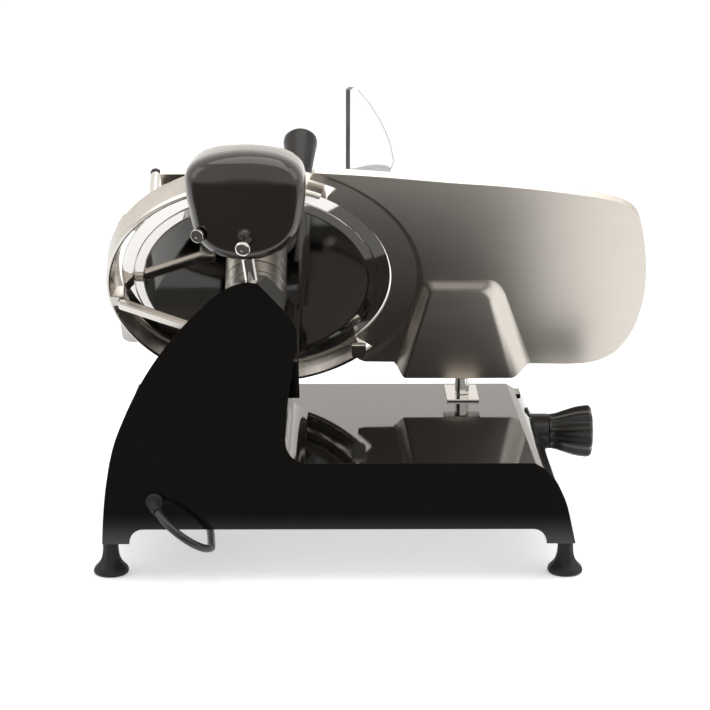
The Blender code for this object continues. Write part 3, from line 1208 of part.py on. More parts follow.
def coil_points():
    """Loops that spiral in on the floor, climb a layer, and spiral out again on top."""
    cx, cy = COIL_CENTRE
    per_turn = 24
    floor = CORD_RADIUS + 0.0003
    layer = COIL_PITCH
    inward = COIL_TURNS * per_turn
    outward = COIL_TURNS * per_turn + per_turn // 4
    climb = per_turn // 2
    points = []
    radius = COIL_OUTER
    height = floor
    for k in range(inward + outward + 1):
        angle = 2.0 * math.pi * k / per_turn
        if k <= inward - climb // 2:
            radius = COIL_OUTER - COIL_PITCH * k / per_turn
            height = floor
        elif k <= inward + climb // 2:
            share = (k - inward + climb // 2) / climb
            turned = (inward - climb / 2) / per_turn
            radius = COIL_OUTER - COIL_PITCH * (turned + 0.2 * math.sin(math.pi * share))
            height = floor + layer * (0.5 - 0.5 * math.cos(math.pi * share))
        else:
            beyond = (k - inward - climb // 2) / per_turn
            radius = COIL_OUTER - COIL_PITCH * ((inward - climb / 2) / per_turn - beyond)
            height = floor + layer
        points.append((cx + radius * math.cos(angle), cy + radius * math.sin(angle), height))
    first = points[0]
    lead = 2.2 * CORD_RADIUS
    points.insert(0, (first[0], first[1] - lead, first[2]))
    last = points[-1]
    points.append((last[0] - 1.5 * CORD_RADIUS, last[1], last[2]))
    points.append((last[0] - 4.2 * CORD_RADIUS, last[1], last[2]))
    return points


def least_gap(points):
    """Least clear distance between stretches of the coil that aren't neighbours along it."""
    least = 1.0
    vectors = [Vector(p) for p in points]
    walked = [0.0]
    for a, b in zip(vectors, vectors[1:]):
        walked.append(walked[-1] + (b - a).length)
    for i, a in enumerate(vectors):
        for j in range(i + 1, len(vectors) - 1):
            if walked[j] - walked[i] < 8 * CORD_RADIUS:
                continue
            b, c = vectors[j], vectors[j + 1]
            share = max(0.0, min(1.0, (a - b).dot(c - b) / (c - b).length_squared))
            least = min(least, (a - b.lerp(c, share)).length - 2 * CORD_RADIUS)
    return least


def build_cord():
    x, z = CORD_EXIT
    flip = move(x, -GAP, z) @ Matrix.Rotation(math.pi / 2, 4, 'X')
    gland = piece("cord_gland", lathe([(0.0, -0.0120), (0.0050, -0.0120), (0.0050, 0.0), (0.0074, 0.0),
                                       (0.0074, 0.0022), (0.0058, 0.0034), (0.0, 0.0034)], 20, turn=flip),
                  black_rubber(), machine)
    # The bent, tapered strain relief
    rings = []
    for k in range(6):
        angle = RELIEF_ANGLE * k / 5
        middle = Vector(lead_turn(angle))
        side = Vector((LEAD_ACROSS[0], 0.0, LEAD_ACROSS[1]))
        outward = side * math.cos(angle) + Vector((0, 1, 0)) * math.sin(angle)
        upright = side.cross(Vector((0, 1, 0)))
        width = 0.0056 - 0.0012 * k / 5
        rings.append([tuple(middle + outward * width * math.cos(a) + upright * width * math.sin(a))
                      for a in (2 * math.pi * (n + 0.5) / 12 for n in range(12))])
    rings.insert(0, [(px, py + LEAD_STRAIGHT - 0.0020, pz) for px, py, pz in rings[0]])
    fuse(gland, loft(rings))
    leaving = Vector((LEAD_ACROSS[0] * math.sin(RELIEF_ANGLE), -math.cos(RELIEF_ANGLE),
                      LEAD_ACROSS[1] * math.sin(RELIEF_ANGLE)))
    start = tuple(Vector(lead_turn(RELIEF_ANGLE)) + leaving * GAP)
    turn = [tuple(Vector(lead_turn(RELIEF_ANGLE + (math.pi - RELIEF_ANGLE) * k / 10)) + leaving * (GAP + 0.008))
            for k in range(11)]
    coil = coil_points()
    end = coil[0]
    stop = (end[0], end[1] - GAP, end[2])
    below = [(x, y * BASE_DEPTH / 0.288, z) for x, y, z in ROUTE]
    fine = smooth(turn + below + [(end[0], end[1] - 0.012, end[2])], 12)
    route = [start] + spaced(fine, 0.0160) + [stop]
    cable("power_cord", route, 2, machine)
    cable("cord_coil", coil, 1, machine)
    tail = coil[-1]
    height = tail[2]
    plug_x = tail[0] - GAP
    # Moulded plug lying on its flat side, pins along -X
    rings = []
    for distance, half_wide, half_high in ((0.0, 0.0055, 0.0055), (0.010, 0.0070, 0.0070),
                                           (0.018, 0.0140, 0.0105), (0.040, 0.0165, 0.0108)):
        rings.append([(plug_x - distance, tail[1] + half_wide * c, height + half_high * s)
                      for c, s in ((math.cos(a), math.sin(a))
                                   for a in (2 * math.pi * (k + 0.5) / 16 for k in range(16)))])
    plug = piece("power_plug", loft(rings), black_rubber(), machine)
    for side in (-1, 1):
        fuse(plug, rod(0.0024, 0.0, 0.0210, 12,
                       turn=along((-1, 0, 0), (plug_x - 0.0380, tail[1] + side * 0.0095, height))))
    total = LEAD_STRAIGHT + LEAD_TURN * RELIEF_ANGLE + path_length(route) + path_length(coil)
    print(f"mains lead {total:.3f} m, of it free {path_length(route):.3f} m, "
          f"coil {path_length(coil):.3f} m, least gap in the coil {least_gap(coil) * 1000:.2f} mm")


def centre_machine():
    """Put the origin on the bench plane under the middle of the machine's box, its lead left out."""
    lead = {"power_cord", "cord_coil", "power_plug"}
    bpy.context.view_layer.update()
    low = Vector((1e9, 1e9, 1e9))
    high = -low
    for obj in bpy.data.objects:
        if obj.type != 'MESH' or obj.name in lead:
            continue
        for vertex in obj.data.vertices:
            place = obj.matrix_world @ vertex.co
            low = Vector(map(min, low, place))
            high = Vector(map(max, high, place))
    middle = (low + high) / 2
    machine.location = (-middle.x, -middle.y, -low.z)
    bpy.context.view_layer.update()
    print(f"moved by {-middle.x:.5f} {-middle.y:.5f} {-low.z:.5f}, size {tuple(round(v, 4) for v in high - low)}")


build_base()
build_underside()
build_blade()
build_motor()
build_belt()
build_bearing_housing()
build_ring()
build_cover_disc()
build_deflector()
build_gauge()
build_knob()
build_carriage()
build_guard()
build_press()
build_sharpener()
build_switch()
build_cord()
centre_machine()
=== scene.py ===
import json
import math

import bpy
from mathutils import Matrix, Vector


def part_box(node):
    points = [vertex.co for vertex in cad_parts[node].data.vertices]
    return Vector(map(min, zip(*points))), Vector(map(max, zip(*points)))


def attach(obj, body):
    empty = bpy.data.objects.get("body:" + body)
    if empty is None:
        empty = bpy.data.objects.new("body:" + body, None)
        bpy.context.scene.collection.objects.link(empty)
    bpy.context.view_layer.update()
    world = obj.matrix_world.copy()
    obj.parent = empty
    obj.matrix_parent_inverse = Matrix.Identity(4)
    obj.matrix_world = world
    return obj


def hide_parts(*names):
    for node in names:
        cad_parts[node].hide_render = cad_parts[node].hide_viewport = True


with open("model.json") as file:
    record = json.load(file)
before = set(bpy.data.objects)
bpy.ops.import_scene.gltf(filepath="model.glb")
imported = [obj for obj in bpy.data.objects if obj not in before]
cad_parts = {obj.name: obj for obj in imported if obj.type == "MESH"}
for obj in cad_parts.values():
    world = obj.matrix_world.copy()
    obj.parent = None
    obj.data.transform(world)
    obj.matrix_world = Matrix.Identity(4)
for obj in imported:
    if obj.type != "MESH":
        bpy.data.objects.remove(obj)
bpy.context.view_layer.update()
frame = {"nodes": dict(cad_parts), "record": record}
print("frame loaded")

record = frame["record"]

# The drawing axes of the machine: x from under the blade's centre, y from the base's front face
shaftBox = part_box("blade_shaft")
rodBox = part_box("gauge_guide_rod")
toRow = Matrix.Translation(((shaftBox[0][0] + shaftBox[1][0]) / 2, rodBox[0][1] - 0.1945, 0))
bladeSetting = {"centreY": 0.178, "centreZ": 0.2402, "tilt": 37.3}
bladeTurn = Matrix.Rotation(math.radians(90 + bladeSetting["tilt"]), 4, 'X')
bladeLocal = Matrix.Translation((0, bladeSetting["centreY"], bladeSetting["centreZ"])) @ bladeTurn
bladePlane = toRow @ bladeLocal
sinTilt = math.sin(math.radians(bladeSetting["tilt"]))
cosTilt = math.cos(math.radians(bladeSetting["tilt"]))


# Camera

cameraSetting = {"eye": (0.0804, -1.8417, 0.6389), "down": 13.2, "right": 0.339, "lens": 111.55}
bpy.ops.object.select_all(action='DESELECT')
bpy.ops.object.camera_add(rotation=(math.radians(90 - cameraSetting["down"]), 0,
                                    -math.radians(cameraSetting["right"])))
camera = bpy.context.active_object
camera.name = "camera"
camera.location = toRow @ Vector(cameraSetting["eye"])
camera.data.lens = cameraSetting["lens"]
camera.data.sensor_width = 36
camera.data.clip_end = 50
bpy.context.scene.camera = camera
bpy.context.scene.view_settings.view_transform = 'Standard'
print("camera set")


# Tools for the materials

def addNode(tree, kind, place, **settings):
    node = tree.nodes.new(kind)
    node.location = place
    for key, value in settings.items():
        setattr(node, key, value)
    return node


def newGroup(name, inputs, outputs):
    # The inputs have their usual values; every output is a number
    group = bpy.data.node_groups.new(name, 'ShaderNodeTree')
    for label, value in inputs.items():
        kind = 'NodeSocketFloat' if isinstance(value, float) else 'NodeSocketVector'
        socket = group.interface.new_socket(name=label, in_out='INPUT', socket_type=kind)
        socket.default_value = value
    for label in outputs:
        group.interface.new_socket(name=label, in_out='OUTPUT', socket_type='NodeSocketFloat')
    entry = addNode(group, 'NodeGroupInput', (-900, 0))
    leave = addNode(group, 'NodeGroupOutput', (600, 0))
    return group, entry, leave


def feed(tree, socket, value):
    # A number sets the socket, and another node's output is linked to it
    if isinstance(value, (int, float)):
        socket.default_value = value
    else:
        tree.links.new(value, socket)


def mathNode(tree, operation, first, second, place):
    node = addNode(tree, 'ShaderNodeMath', place, operation=operation)
    feed(tree, node.inputs[0], first)
    if second is not None:
        feed(tree, node.inputs[1], second)
    return node.outputs[0]


def rangeNode(tree, value, fromLow, fromHigh, toLow, toHigh, place):
    node = addNode(tree, 'ShaderNodeMapRange', place)
    for label, number in (("Value", value), ("From Min", fromLow), ("From Max", fromHigh),
                          ("To Min", toLow), ("To Max", toHigh)):
        feed(tree, node.inputs[label], number)
    return node.outputs["Result"]


def softStep(tree, value, low, high, place):
    # 0 at low and 1 at high, which may be the lower number of the two
    node = addNode(tree, 'ShaderNodeMapRange', place, interpolation_type='SMOOTHSTEP')
    for label, number in (("Value", value), ("From Min", low), ("From Max", high)):
        feed(tree, node.inputs[label], number)
    return node.outputs["Result"]


def noiseNode(tree, vector, scale, detail, roughness, place):
    node = addNode(tree, 'ShaderNodeTexNoise', place)
    tree.links.new(vector, node.inputs["Vector"])
    for label, number in (("Scale", scale), ("Detail", detail), ("Roughness", roughness)):
        feed(tree, node.inputs[label], number)
    return node.outputs["Fac"]


def mixShaders(tree, share, first, second, place):
    node = addNode(tree, 'ShaderNodeMixShader', place)
    for socket, output in zip(node.inputs, (share, first, second)):
        tree.links.new(output, socket)
    return node.outputs[0]


def finishGrain(group, entry, leave, lines, cloud):
    # Fine lines and a soft cloud make the shade and the gloss, and the lines alone raise the surface
    both = mathNode(group, 'ADD', mathNode(group, 'MULTIPLY', lines, 0.6, (150, 100)),
                    mathNode(group, 'MULTIPLY', cloud, 0.4, (150, -100)), (300, 0))
    rough = rangeNode(group, both, 0.3, 0.7, entry.outputs["Low"], entry.outputs["High"], (400, 0))
    for label, output in (("Height", lines), ("Roughness", rough), ("Shade", both)):
        group.links.new(output, leave.inputs[label])
    return group


def brushedGrainGroup():
    # Fine parallel lines left by a brush or belt; Stretch is large across the lines
    group, entry, leave = newGroup("brushedGrain", {"Vector": (0, 0, 0), "Stretch": (20, 900, 900),
                                                    "Low": 0.2, "High": 0.3},
                                   ("Height", "Roughness", "Shade"))
    stretch = addNode(group, 'ShaderNodeVectorMath', (-700, 0), operation='MULTIPLY')
    group.links.new(entry.outputs["Vector"], stretch.inputs[0])
    group.links.new(entry.outputs["Stretch"], stretch.inputs[1])
    lines = noiseNode(group, stretch.outputs[0], 1.0, 3.0, 0.6, (-450, 150))
    cloud = noiseNode(group, entry.outputs["Vector"], 9.0, 3.0, 0.5, (-450, -150))
    return finishGrain(group, entry, leave, lines, cloud)


def turnedGrainGroup():
    # Concentric lines of a turned or ground face about the local Z axis of the mapped vector
    group, entry, leave = newGroup("turnedGrain", {"Vector": (0, 0, 0), "Lines": 1500.0, "Low": 0.05,
                                                   "High": 0.12},
                                   ("Height", "Roughness", "Shade"))
    parts = addNode(group, 'ShaderNodeSeparateXYZ', (-700, 0))
    group.links.new(entry.outputs["Vector"], parts.inputs[0])
    squares = [mathNode(group, 'MULTIPLY', output, output, (-500, 0)) for output in parts.outputs[:2]]
    square = mathNode(group, 'ADD', *squares, (-350, 50))
    radius = mathNode(group, 'SQRT', square, None, (-200, 50))
    spread = mathNode(group, 'MULTIPLY', radius, entry.outputs["Lines"], (-100, 150))
    rings = addNode(group, 'ShaderNodeTexNoise', (0, 100), noise_dimensions='1D')
    group.links.new(spread, rings.inputs["W"])
    rings.inputs["Scale"].default_value = 1.0
    rings.inputs["Detail"].default_value = 2.0
    cloud = noiseNode(group, entry.outputs["Vector"], 14.0, 2.0, 0.5, (0, -150))
    return finishGrain(group, entry, leave, rings.outputs["Fac"], cloud)


def handledFinishGroup():
    # A surface that hands have touched: soft blotches in the gloss and a very fine ripple
    group, entry, leave = newGroup("handledFinish", {"Vector": (0, 0, 0), "Blotch": 12.0, "Ripple": 400.0,
                                                     "Low": 0.05, "High": 0.1},
                                   ("Height", "Roughness", "Mask"))
    blotch = noiseNode(group, entry.outputs["Vector"], entry.outputs["Blotch"], 4.0, 0.55, (-500, 100))
    ripple = noiseNode(group, entry.outputs["Vector"], entry.outputs["Ripple"], 1.0, 0.4, (-500, -150))
    rough = rangeNode(group, blotch, 0.35, 0.68, entry.outputs["Low"], entry.outputs["High"], (-100, 100))
    for label, output in (("Height", ripple), ("Roughness", rough), ("Mask", blotch)):
        group.links.new(output, leave.inputs[label])
    return group


brushedGrain = brushedGrainGroup()
turnedGrain = turnedGrainGroup()
handledFinish = handledFinishGroup()


def startMaterial(name, fixed):
    material = bpy.data.materials.new(name)
    material.use_nodes = True
    tree = material.node_tree
    shader = tree.nodes["Principled BSDF"]
    for label, value in fixed.items():
        shader.inputs[label].default_value = value
    coordinates = addNode(tree, 'ShaderNodeTexCoord', (-1200, 0))
    return material, tree, shader, coordinates.outputs["Object"]


def useGroup(tree, group, vector, **values):
    node = addNode(tree, 'ShaderNodeGroup', (-700, 0), node_tree=group)
    tree.links.new(vector, node.inputs["Vector"])
    for label, value in values.items():
        node.inputs[label].default_value = value
    return node


def addBump(tree, shader, height, strength, distance):
    bump = addNode(tree, 'ShaderNodeBump', (-250, -250))
    bump.inputs["Strength"].default_value = strength
    bump.inputs["Distance"].default_value = distance
    tree.links.new(height, bump.inputs["Height"])
    tree.links.new(bump.outputs["Normal"], shader.inputs["Normal"])


def mixColours(tree, mask, colours, shader):
    ramp = addNode(tree, 'ShaderNodeValToRGB', (-250, 200))
    for stop, colour, position in zip(ramp.color_ramp.elements, colours, (0.35, 0.65)):
        stop.color = (*colour, 1)
        stop.position = position
    tree.links.new(mask, ramp.inputs["Fac"])
    tree.links.new(ramp.outputs["Color"], shader.inputs["Base Color"])


def finishMaterial(material, shader, group, mask, colours, strength, distance):
    # The group's outputs drive the gloss, the colour and the bump
    tree = material.node_tree
    tree.links.new(group.outputs["Roughness"], shader.inputs["Roughness"])
    mixColours(tree, group.outputs[mask], colours, shader)
    if strength:
        addBump(tree, shader, group.outputs["Height"], strength, distance)
    return material


def handledMaterial(name, colours, rough, blotch, ripple, strength, distance=0.0002, metallic=0.0, **extra):
    material, tree, shader, vector = startMaterial(name, {"Metallic": metallic, **extra})
    group = useGroup(tree, handledFinish, vector, Blotch=blotch, Ripple=ripple, Low=rough[0], High=rough[1])
    return finishMaterial(material, shader, group, "Mask", colours, strength, distance)


def brushedMaterial(name, colours, rough, stretch, strength, distance=0.0002):
    material, tree, shader, vector = startMaterial(name, {"Metallic": 1.0})
    group = useGroup(tree, brushedGrain, vector, Stretch=stretch, Low=rough[0], High=rough[1])
    return finishMaterial(material, shader, group, "Shade", colours, strength, distance)


def turnedMaterial(name, colours, rough, lines, place, strength):
    # place: the axis frame in the row's axes that the concentric lines run about
    material, tree, shader, vector = startMaterial(name, {"Metallic": 1.0})
    mapping = addNode(tree, 'ShaderNodeMapping', (-950, 0))
    inverse = place.inverted()
    mapping.inputs["Location"].default_value = inverse.translation
    mapping.inputs["Rotation"].default_value = inverse.to_euler()
    tree.links.new(vector, mapping.inputs["Vector"])
    group = useGroup(tree, turnedGrain, mapping.outputs[0], Lines=lines, Low=rough[0], High=rough[1])
    return finishMaterial(material, shader, group, "Shade", colours, strength, 0.0001)


lacquer = handledMaterial("blackLacquer", ((0.0032, 0.0025, 0.0021), (0.0045, 0.0036, 0.0030)),
                          (0.035, 0.075), blotch=7.0, ripple=260.0, strength=0.012, distance=0.0003,
                          **{"Coat Weight": 0.35, "Coat Roughness": 0.03})
# The dome's lacquer is the black lacquer made a lighter brown: a painted sheen that stands in for the soft
# reflection across the dome
domeLacquerPaintedSheen = handledMaterial("domeLacquerPaintedSheen", ((0.019, 0.0152, 0.0125), (0.023, 0.0186, 0.0155)),
                              (0.09, 0.14), blotch=9.0, ripple=260.0, strength=0.012, distance=0.0003,
                              **{"Coat Weight": 0.35, "Coat Roughness": 0.06})
mouldedBlack = handledMaterial("mouldedBlack", ((0.013, 0.012, 0.011), (0.02, 0.018, 0.017)), (0.24, 0.36),
                               blotch=30.0, ripple=1800.0, strength=0.05, distance=0.0001,
                               **{"Specular IOR Level": 0.35})
softRubber = handledMaterial("softRubber", ((0.014, 0.013, 0.012), (0.024, 0.022, 0.02)), (0.42, 0.6),
                             blotch=40.0, ripple=2200.0, strength=0.08, distance=0.0001,
                             **{"Specular IOR Level": 0.25})
cordRubber = handledMaterial("cordRubber", ((0.012, 0.011, 0.0105), (0.02, 0.018, 0.017)), (0.3, 0.42),
                             blotch=60.0, ripple=1500.0, strength=0.06, distance=0.0001)
wovenStrap = handledMaterial("wovenStrap", ((0.018, 0.018, 0.02), (0.034, 0.034, 0.037)), (0.6, 0.8),
                             blotch=120.0, ripple=3200.0, strength=0.3, distance=0.0001)
satinPlate = brushedMaterial("satinPlate", ((0.63, 0.59, 0.535), (0.68, 0.64, 0.585)), (0.38, 0.44),
                             (10, 700, 700), strength=0.02, distance=0.0001)
satinCast = handledMaterial("satinCast", ((0.60, 0.57, 0.53), (0.68, 0.65, 0.61)), (0.2, 0.32),
                            metallic=1.0, blotch=25.0, ripple=900.0, strength=0.05, distance=0.0001)
trayMetal = brushedMaterial("trayMetal", ((0.60, 0.575, 0.545), (0.68, 0.655, 0.625)), (0.26, 0.36),
                            (14, 900, 900), strength=0.06)
bladeSteel = turnedMaterial("bladeSteel", ((0.68, 0.66, 0.63), (0.74, 0.725, 0.70)), (0.03, 0.075), 1400.0,
                            bladePlane, strength=0.02)
hubMetal = turnedMaterial("hubMetal", ((0.60, 0.57, 0.53), (0.68, 0.65, 0.61)), (0.30, 0.40), 2500.0,
                          bladePlane, strength=0.06)
chrome = handledMaterial("brightChrome", ((0.72, 0.705, 0.68), (0.78, 0.765, 0.74)), (0.04, 0.1),
                         metallic=1.0, blotch=40.0, ripple=600.0, strength=0.01, distance=0.0001)
plainSteel = handledMaterial("plainSteel", ((0.40, 0.395, 0.385), (0.5, 0.49, 0.48)), (0.25, 0.4),
                             metallic=1.0, blotch=40.0, ripple=1200.0, strength=0.06, distance=0.0001)
greyAbrasive = handledMaterial("greyAbrasive", ((0.16, 0.155, 0.15), (0.34, 0.33, 0.315)), (0.8, 0.95),
                               blotch=900.0, ripple=3000.0, strength=0.6, distance=0.0003)
redPlastic = handledMaterial("redPlastic", ((0.50, 0.02, 0.015), (0.58, 0.03, 0.02)), (0.2, 0.3),
                             blotch=60.0, ripple=1500.0, strength=0.02)
greenPlastic = handledMaterial("greenPlastic", ((0.015, 0.26, 0.06), (0.02, 0.32, 0.08)), (0.2, 0.3),
                               blotch=60.0, ripple=1500.0, strength=0.02)
# The clear acrylic is a little grey in its thickness
clearAcrylic = handledMaterial("clearAcrylic", ((0.86, 0.89, 0.92), (0.9, 0.925, 0.95)), (0.0, 0.02),
                               blotch=16.0, ripple=300.0, strength=0.004,
                               **{"Transmission Weight": 1.0, "IOR": 1.3})
# The sawn edge is a frosted matte finish, and its dark blue-grey colour is painted shade for the dark edge
# of the clear sheet
frostedEdgePaintedShade = handledMaterial("frostedEdgePaintedShade", ((0.15, 0.16, 0.175), (0.2, 0.21, 0.225)), (0.4, 0.55),
                              blotch=50.0, ripple=1200.0, strength=0.05, distance=0.0001)
slotMaterial = {"black_gloss": lacquer, "black_plastic": mouldedBlack, "black_rubber": softRubber,
                "satin_aluminium": satinCast, "polished_steel": chrome, "plain_steel": plainSteel,
                "clear_acrylic": clearAcrylic, "grey_stone": greyAbrasive, "off_button_plastic": redPlastic,
                "on_button_plastic": greenPlastic}
slotOfNode = {entry["node"]: entry["material_slot"] for entry in record["subparts"]}
bodyOfNode = {node: body for body, nodes in record["behaviour"]["bodies"].items() for node in nodes}
for nodeName, nodeObject in frame["nodes"].items():
    nodeObject.data.materials.clear()
    nodeObject.data.materials.append(slotMaterial[slotOfNode[nodeName]])
print("materials made")


# Tools for the pieces

def deselectAll():
    if bpy.context.object is not None and bpy.context.object.mode != 'OBJECT':
        bpy.ops.object.mode_set(mode='OBJECT')
    bpy.ops.object.select_all(action='DESELECT')


def makeActive(piece):
    deselectAll()
    piece.select_set(True)
    bpy.context.view_layer.objects.active = piece


def editMesh(piece, *steps):
    # Each step is an operator of edit mode with its settings, run with all of the mesh selected
    makeActive(piece)
    bpy.ops.object.mode_set(mode='EDIT')
    for operator, settings in steps:
        bpy.ops.mesh.select_all(action='SELECT')
        operator(**settings)
    bpy.ops.object.mode_set(mode='OBJECT')


def namedPiece(name):
    # The piece that the last operator added
    piece = bpy.context.active_object
    piece.name = piece.data.name = name
    return piece


def outlinePiece(name, points):
    # A filled outline, made from a circle whose points are moved into place
    deselectAll()
    bpy.ops.mesh.primitive_circle_add(vertices=len(points), radius=0.01, fill_type='NGON')
    piece = namedPiece(name)
    for vertex, point in zip(piece.data.vertices, points):
        vertex.co = (*point, 0.0) if len(point) == 2 else point
    return piece


def thickPiece(name, points, low, high):
    # An outline in x and y, raised from one height to another
    piece = outlinePiece(name, [(x, y, low) for x, y in points])
    lift = {"TRANSFORM_OT_translate": {"value": (0, 0, high - low)}}
    editMesh(piece, (bpy.ops.mesh.extrude_region_move, lift),
             (bpy.ops.mesh.normals_make_consistent, {"inside": False}))
    return piece


def skinPiece(name, rings, closed=False):
    # A grid whose rows are laid on the rings, joined round and closed at its ends
    rows = rings + [rings[0]] if closed else rings
    around = len(rows[0])
    deselectAll()
    bpy.ops.mesh.primitive_grid_add(x_subdivisions=around, y_subdivisions=len(rows) - 1, size=0.01)
    piece = namedPiece(name)
    for index, vertex in enumerate(piece.data.vertices):
        row, column = divmod(index, around + 1)
        vertex.co = rows[row][column % around]
    makeActive(piece)
    bpy.ops.object.mode_set(mode='EDIT')
    bpy.ops.mesh.select_mode(type='EDGE')
    bpy.ops.mesh.select_all(action='SELECT')
    bpy.ops.mesh.remove_doubles(threshold=1e-6)
    if not closed:
        bpy.ops.mesh.select_all(action='DESELECT')
        bpy.ops.mesh.select_non_manifold(extend=False, use_wire=False, use_boundary=True,
                                         use_multi_face=False, use_non_contiguous=False, use_verts=False)
        bpy.ops.mesh.fill_holes(sides=0)
    bpy.ops.mesh.select_mode(type='VERT')
    bpy.ops.mesh.select_all(action='SELECT')
    bpy.ops.mesh.normals_make_consistent(inside=False)
    bpy.ops.object.mode_set(mode='OBJECT')
    return piece


def turnedPiece(name, profile, steps=96):
    # A closed section of radius and height, spun about Z
    piece = outlinePiece(name, [(radius, 0.0, height) for radius, height in profile])
    whole = {"steps": steps, "angle": 2 * math.pi, "center": (0, 0, 0), "axis": (0, 0, 1)}
    editMesh(piece, (bpy.ops.mesh.delete, {"type": 'ONLY_FACE'}),
             (bpy.ops.mesh.spin, whole),
             (bpy.ops.mesh.remove_doubles, {"threshold": 1e-6}),
             (bpy.ops.mesh.delete_loose, {"use_faces": False}),
             (bpy.ops.mesh.normals_make_consistent, {"inside": False}))
    return piece


def applyModifier(piece, name):
    makeActive(piece)
    bpy.ops.object.modifier_apply(modifier=name)


def bluntRod(name, radius, low, high, sides):
    # A round rod with its two edges broken
    outline = [(0.0, low), (radius, low), (radius, high), (0.0, high)]
    return turnedPiece(name, roundedOutline(outline, 0.0006), sides)


def joinShape(piece, tool, operation='UNION'):
    change = piece.modifiers.new("joined", 'BOOLEAN')
    change.operation = operation
    change.solver = 'EXACT'
    change.object = tool
    applyModifier(piece, "joined")
    bpy.data.objects.remove(tool, do_unlink=True)


def carve(piece, tool):
    joinShape(piece, tool, 'DIFFERENCE')


def boxPiece(name, low, high, place=Matrix()):
    # A cube added at its place and size
    deselectAll()
    bpy.ops.mesh.primitive_cube_add(size=1)
    piece = namedPiece(name)
    size = [b - a for a, b in zip(low, high)]
    middle = [(a + b) / 2 for a, b in zip(low, high)]
    return layPiece(piece, place @ Matrix.Translation(middle) @ Matrix.Diagonal((*size, 1)))


def rodPiece(name, radius, low, high, place, sides=48):
    deselectAll()
    bpy.ops.mesh.primitive_cylinder_add(vertices=sides, radius=radius, depth=high - low)
    return layPiece(namedPiece(name), place @ Matrix.Translation((0, 0, (low + high) / 2)))


def copyPiece(piece, name):
    copied = piece.copy()
    copied.data = piece.data.copy()
    copied.name = copied.data.name = name
    bpy.context.scene.collection.objects.link(copied)
    return copied


def roundedOutline(points, radius, steps=3, sharp=()):
    # Each corner of a closed outline made round; points on the axis and the sharp ones keep their place
    count = len(points)
    result = []
    for i in range(count):
        before, here, after = (Vector(points[(i + k) % count]) for k in (-1, 0, 1))
        if i in sharp or abs(here.x) < 1e-9:
            result.append(tuple(here))
            continue
        reach = min(radius, 0.45 * (here - before).length, 0.45 * (after - here).length)
        start = here + (before - here).normalized() * reach
        stop = here + (after - here).normalized() * reach
        for k in range(steps + 1):
            t = k / steps
            result.append(tuple(start * (1 - t) ** 2 + here * 2 * t * (1 - t) + stop * t * t))
    return result


def roundEdges(piece, width, segments=3, angle=35.0):
    rounding = piece.modifiers.new("rounded", 'BEVEL')
    rounding.width = width
    rounding.segments = segments
    rounding.limit_method = 'ANGLE'
    rounding.angle_limit = math.radians(angle)
    rounding.harden_normals = False
    applyModifier(piece, "rounded")


def smoothShape(piece, angle):
    makeActive(piece)
    bpy.ops.object.shade_smooth_by_angle(angle=math.radians(angle))
    change = piece.modifiers.new("weighted", 'WEIGHTED_NORMAL')
    change.keep_sharp = True
    change.weight = 90
    applyModifier(piece, "weighted")


def layPiece(piece, place):
    piece.data.transform(place)
    piece.data.update()
    return piece


def addPiece(piece, material, place, node):
    # The piece is laid in its place and moves with the body of this CAD node
    layPiece(piece, place)
    piece.data.materials.clear()
    piece.data.materials.append(material)
    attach(piece, bodyOfNode[node])


def finishPiece(piece, material, place, node, angle):
    # The piece is smoothed where its faces meet at less than this angle, and stands for this CAD node
    smoothShape(piece, angle)
    addPiece(piece, material, place, node)
    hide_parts(node)


def curveThrough(points, steps, closed=False):
    # A smooth curve through the points, with so many steps between each pair
    count = len(points)
    result = []
    for i in range(count if closed else count - 1):
        if closed:
            near = [points[(i + k) % count] for k in (-1, 0, 1, 2)]
        else:
            near = [points[min(max(i + k, 0), count - 1)] for k in (-1, 0, 1, 2)]
        for s in range(steps):
            t = s / steps
            weights = (-0.5 * t + t * t - 0.5 * t ** 3, 1 - 2.5 * t * t + 1.5 * t ** 3,
                       0.5 * t + 2 * t * t - 1.5 * t ** 3, -0.5 * t * t + 0.5 * t ** 3)
            result.append(tuple(sum(w * c for w, c in zip(weights, along)) for along in zip(*near)))
    if not closed:
        result.append(tuple(points[-1]))
    return result


def arcPoints(centre, radius, start, stop, steps):
    return [(centre[0] + radius * math.cos(start + (stop - start) * k / steps),
             centre[1] + radius * math.sin(start + (stop - start) * k / steps)) for k in range(steps + 1)]


def flutedRing(radius, height, lobes, depth, count):
    ring = []
    for k in range(count):
        angle = 2 * math.pi * k / count
        reach = radius * (1 - depth * (0.5 + 0.5 * math.cos(lobes * angle)))
        ring.append((reach * math.cos(angle), reach * math.sin(angle), height))
    return ring


def alongX(x, y, z):
    return Matrix.Translation((x, y, z)) @ Matrix.Rotation(math.pi / 2, 4, 'Y')


def alongY(x, y, z):
    return Matrix.Translation((x, y, z)) @ Matrix.Rotation(-math.pi / 2, 4, 'X')


def alongLine(direction, point):
    return Matrix.Translation(point) @ Vector(direction).to_track_quat('Z', 'Y').to_matrix().to_4x4()


def dressNode(node, material, width):
    # A copy of a CAD node with its loose triangles merged, its edges rounded and its faces smoothed
    source = frame["nodes"][node]
    piece = source.copy()
    piece.data = source.data.copy()
    piece.name = piece.data.name = "dressed_" + node
    piece.parent = None
    piece.matrix_world = Matrix()
    bpy.context.scene.collection.objects.link(piece)
    editMesh(piece, (bpy.ops.mesh.remove_doubles, {"threshold": 1e-6}),
             (bpy.ops.mesh.dissolve_limited, {"angle_limit": math.radians(1.0)}))
    if width:
        roundEdges(piece, width, 2, 40.0)
    finishPiece(piece, material, Matrix(), node, 35.0)


# Mains lead: out of the gland, back under the base, and wound behind the machine

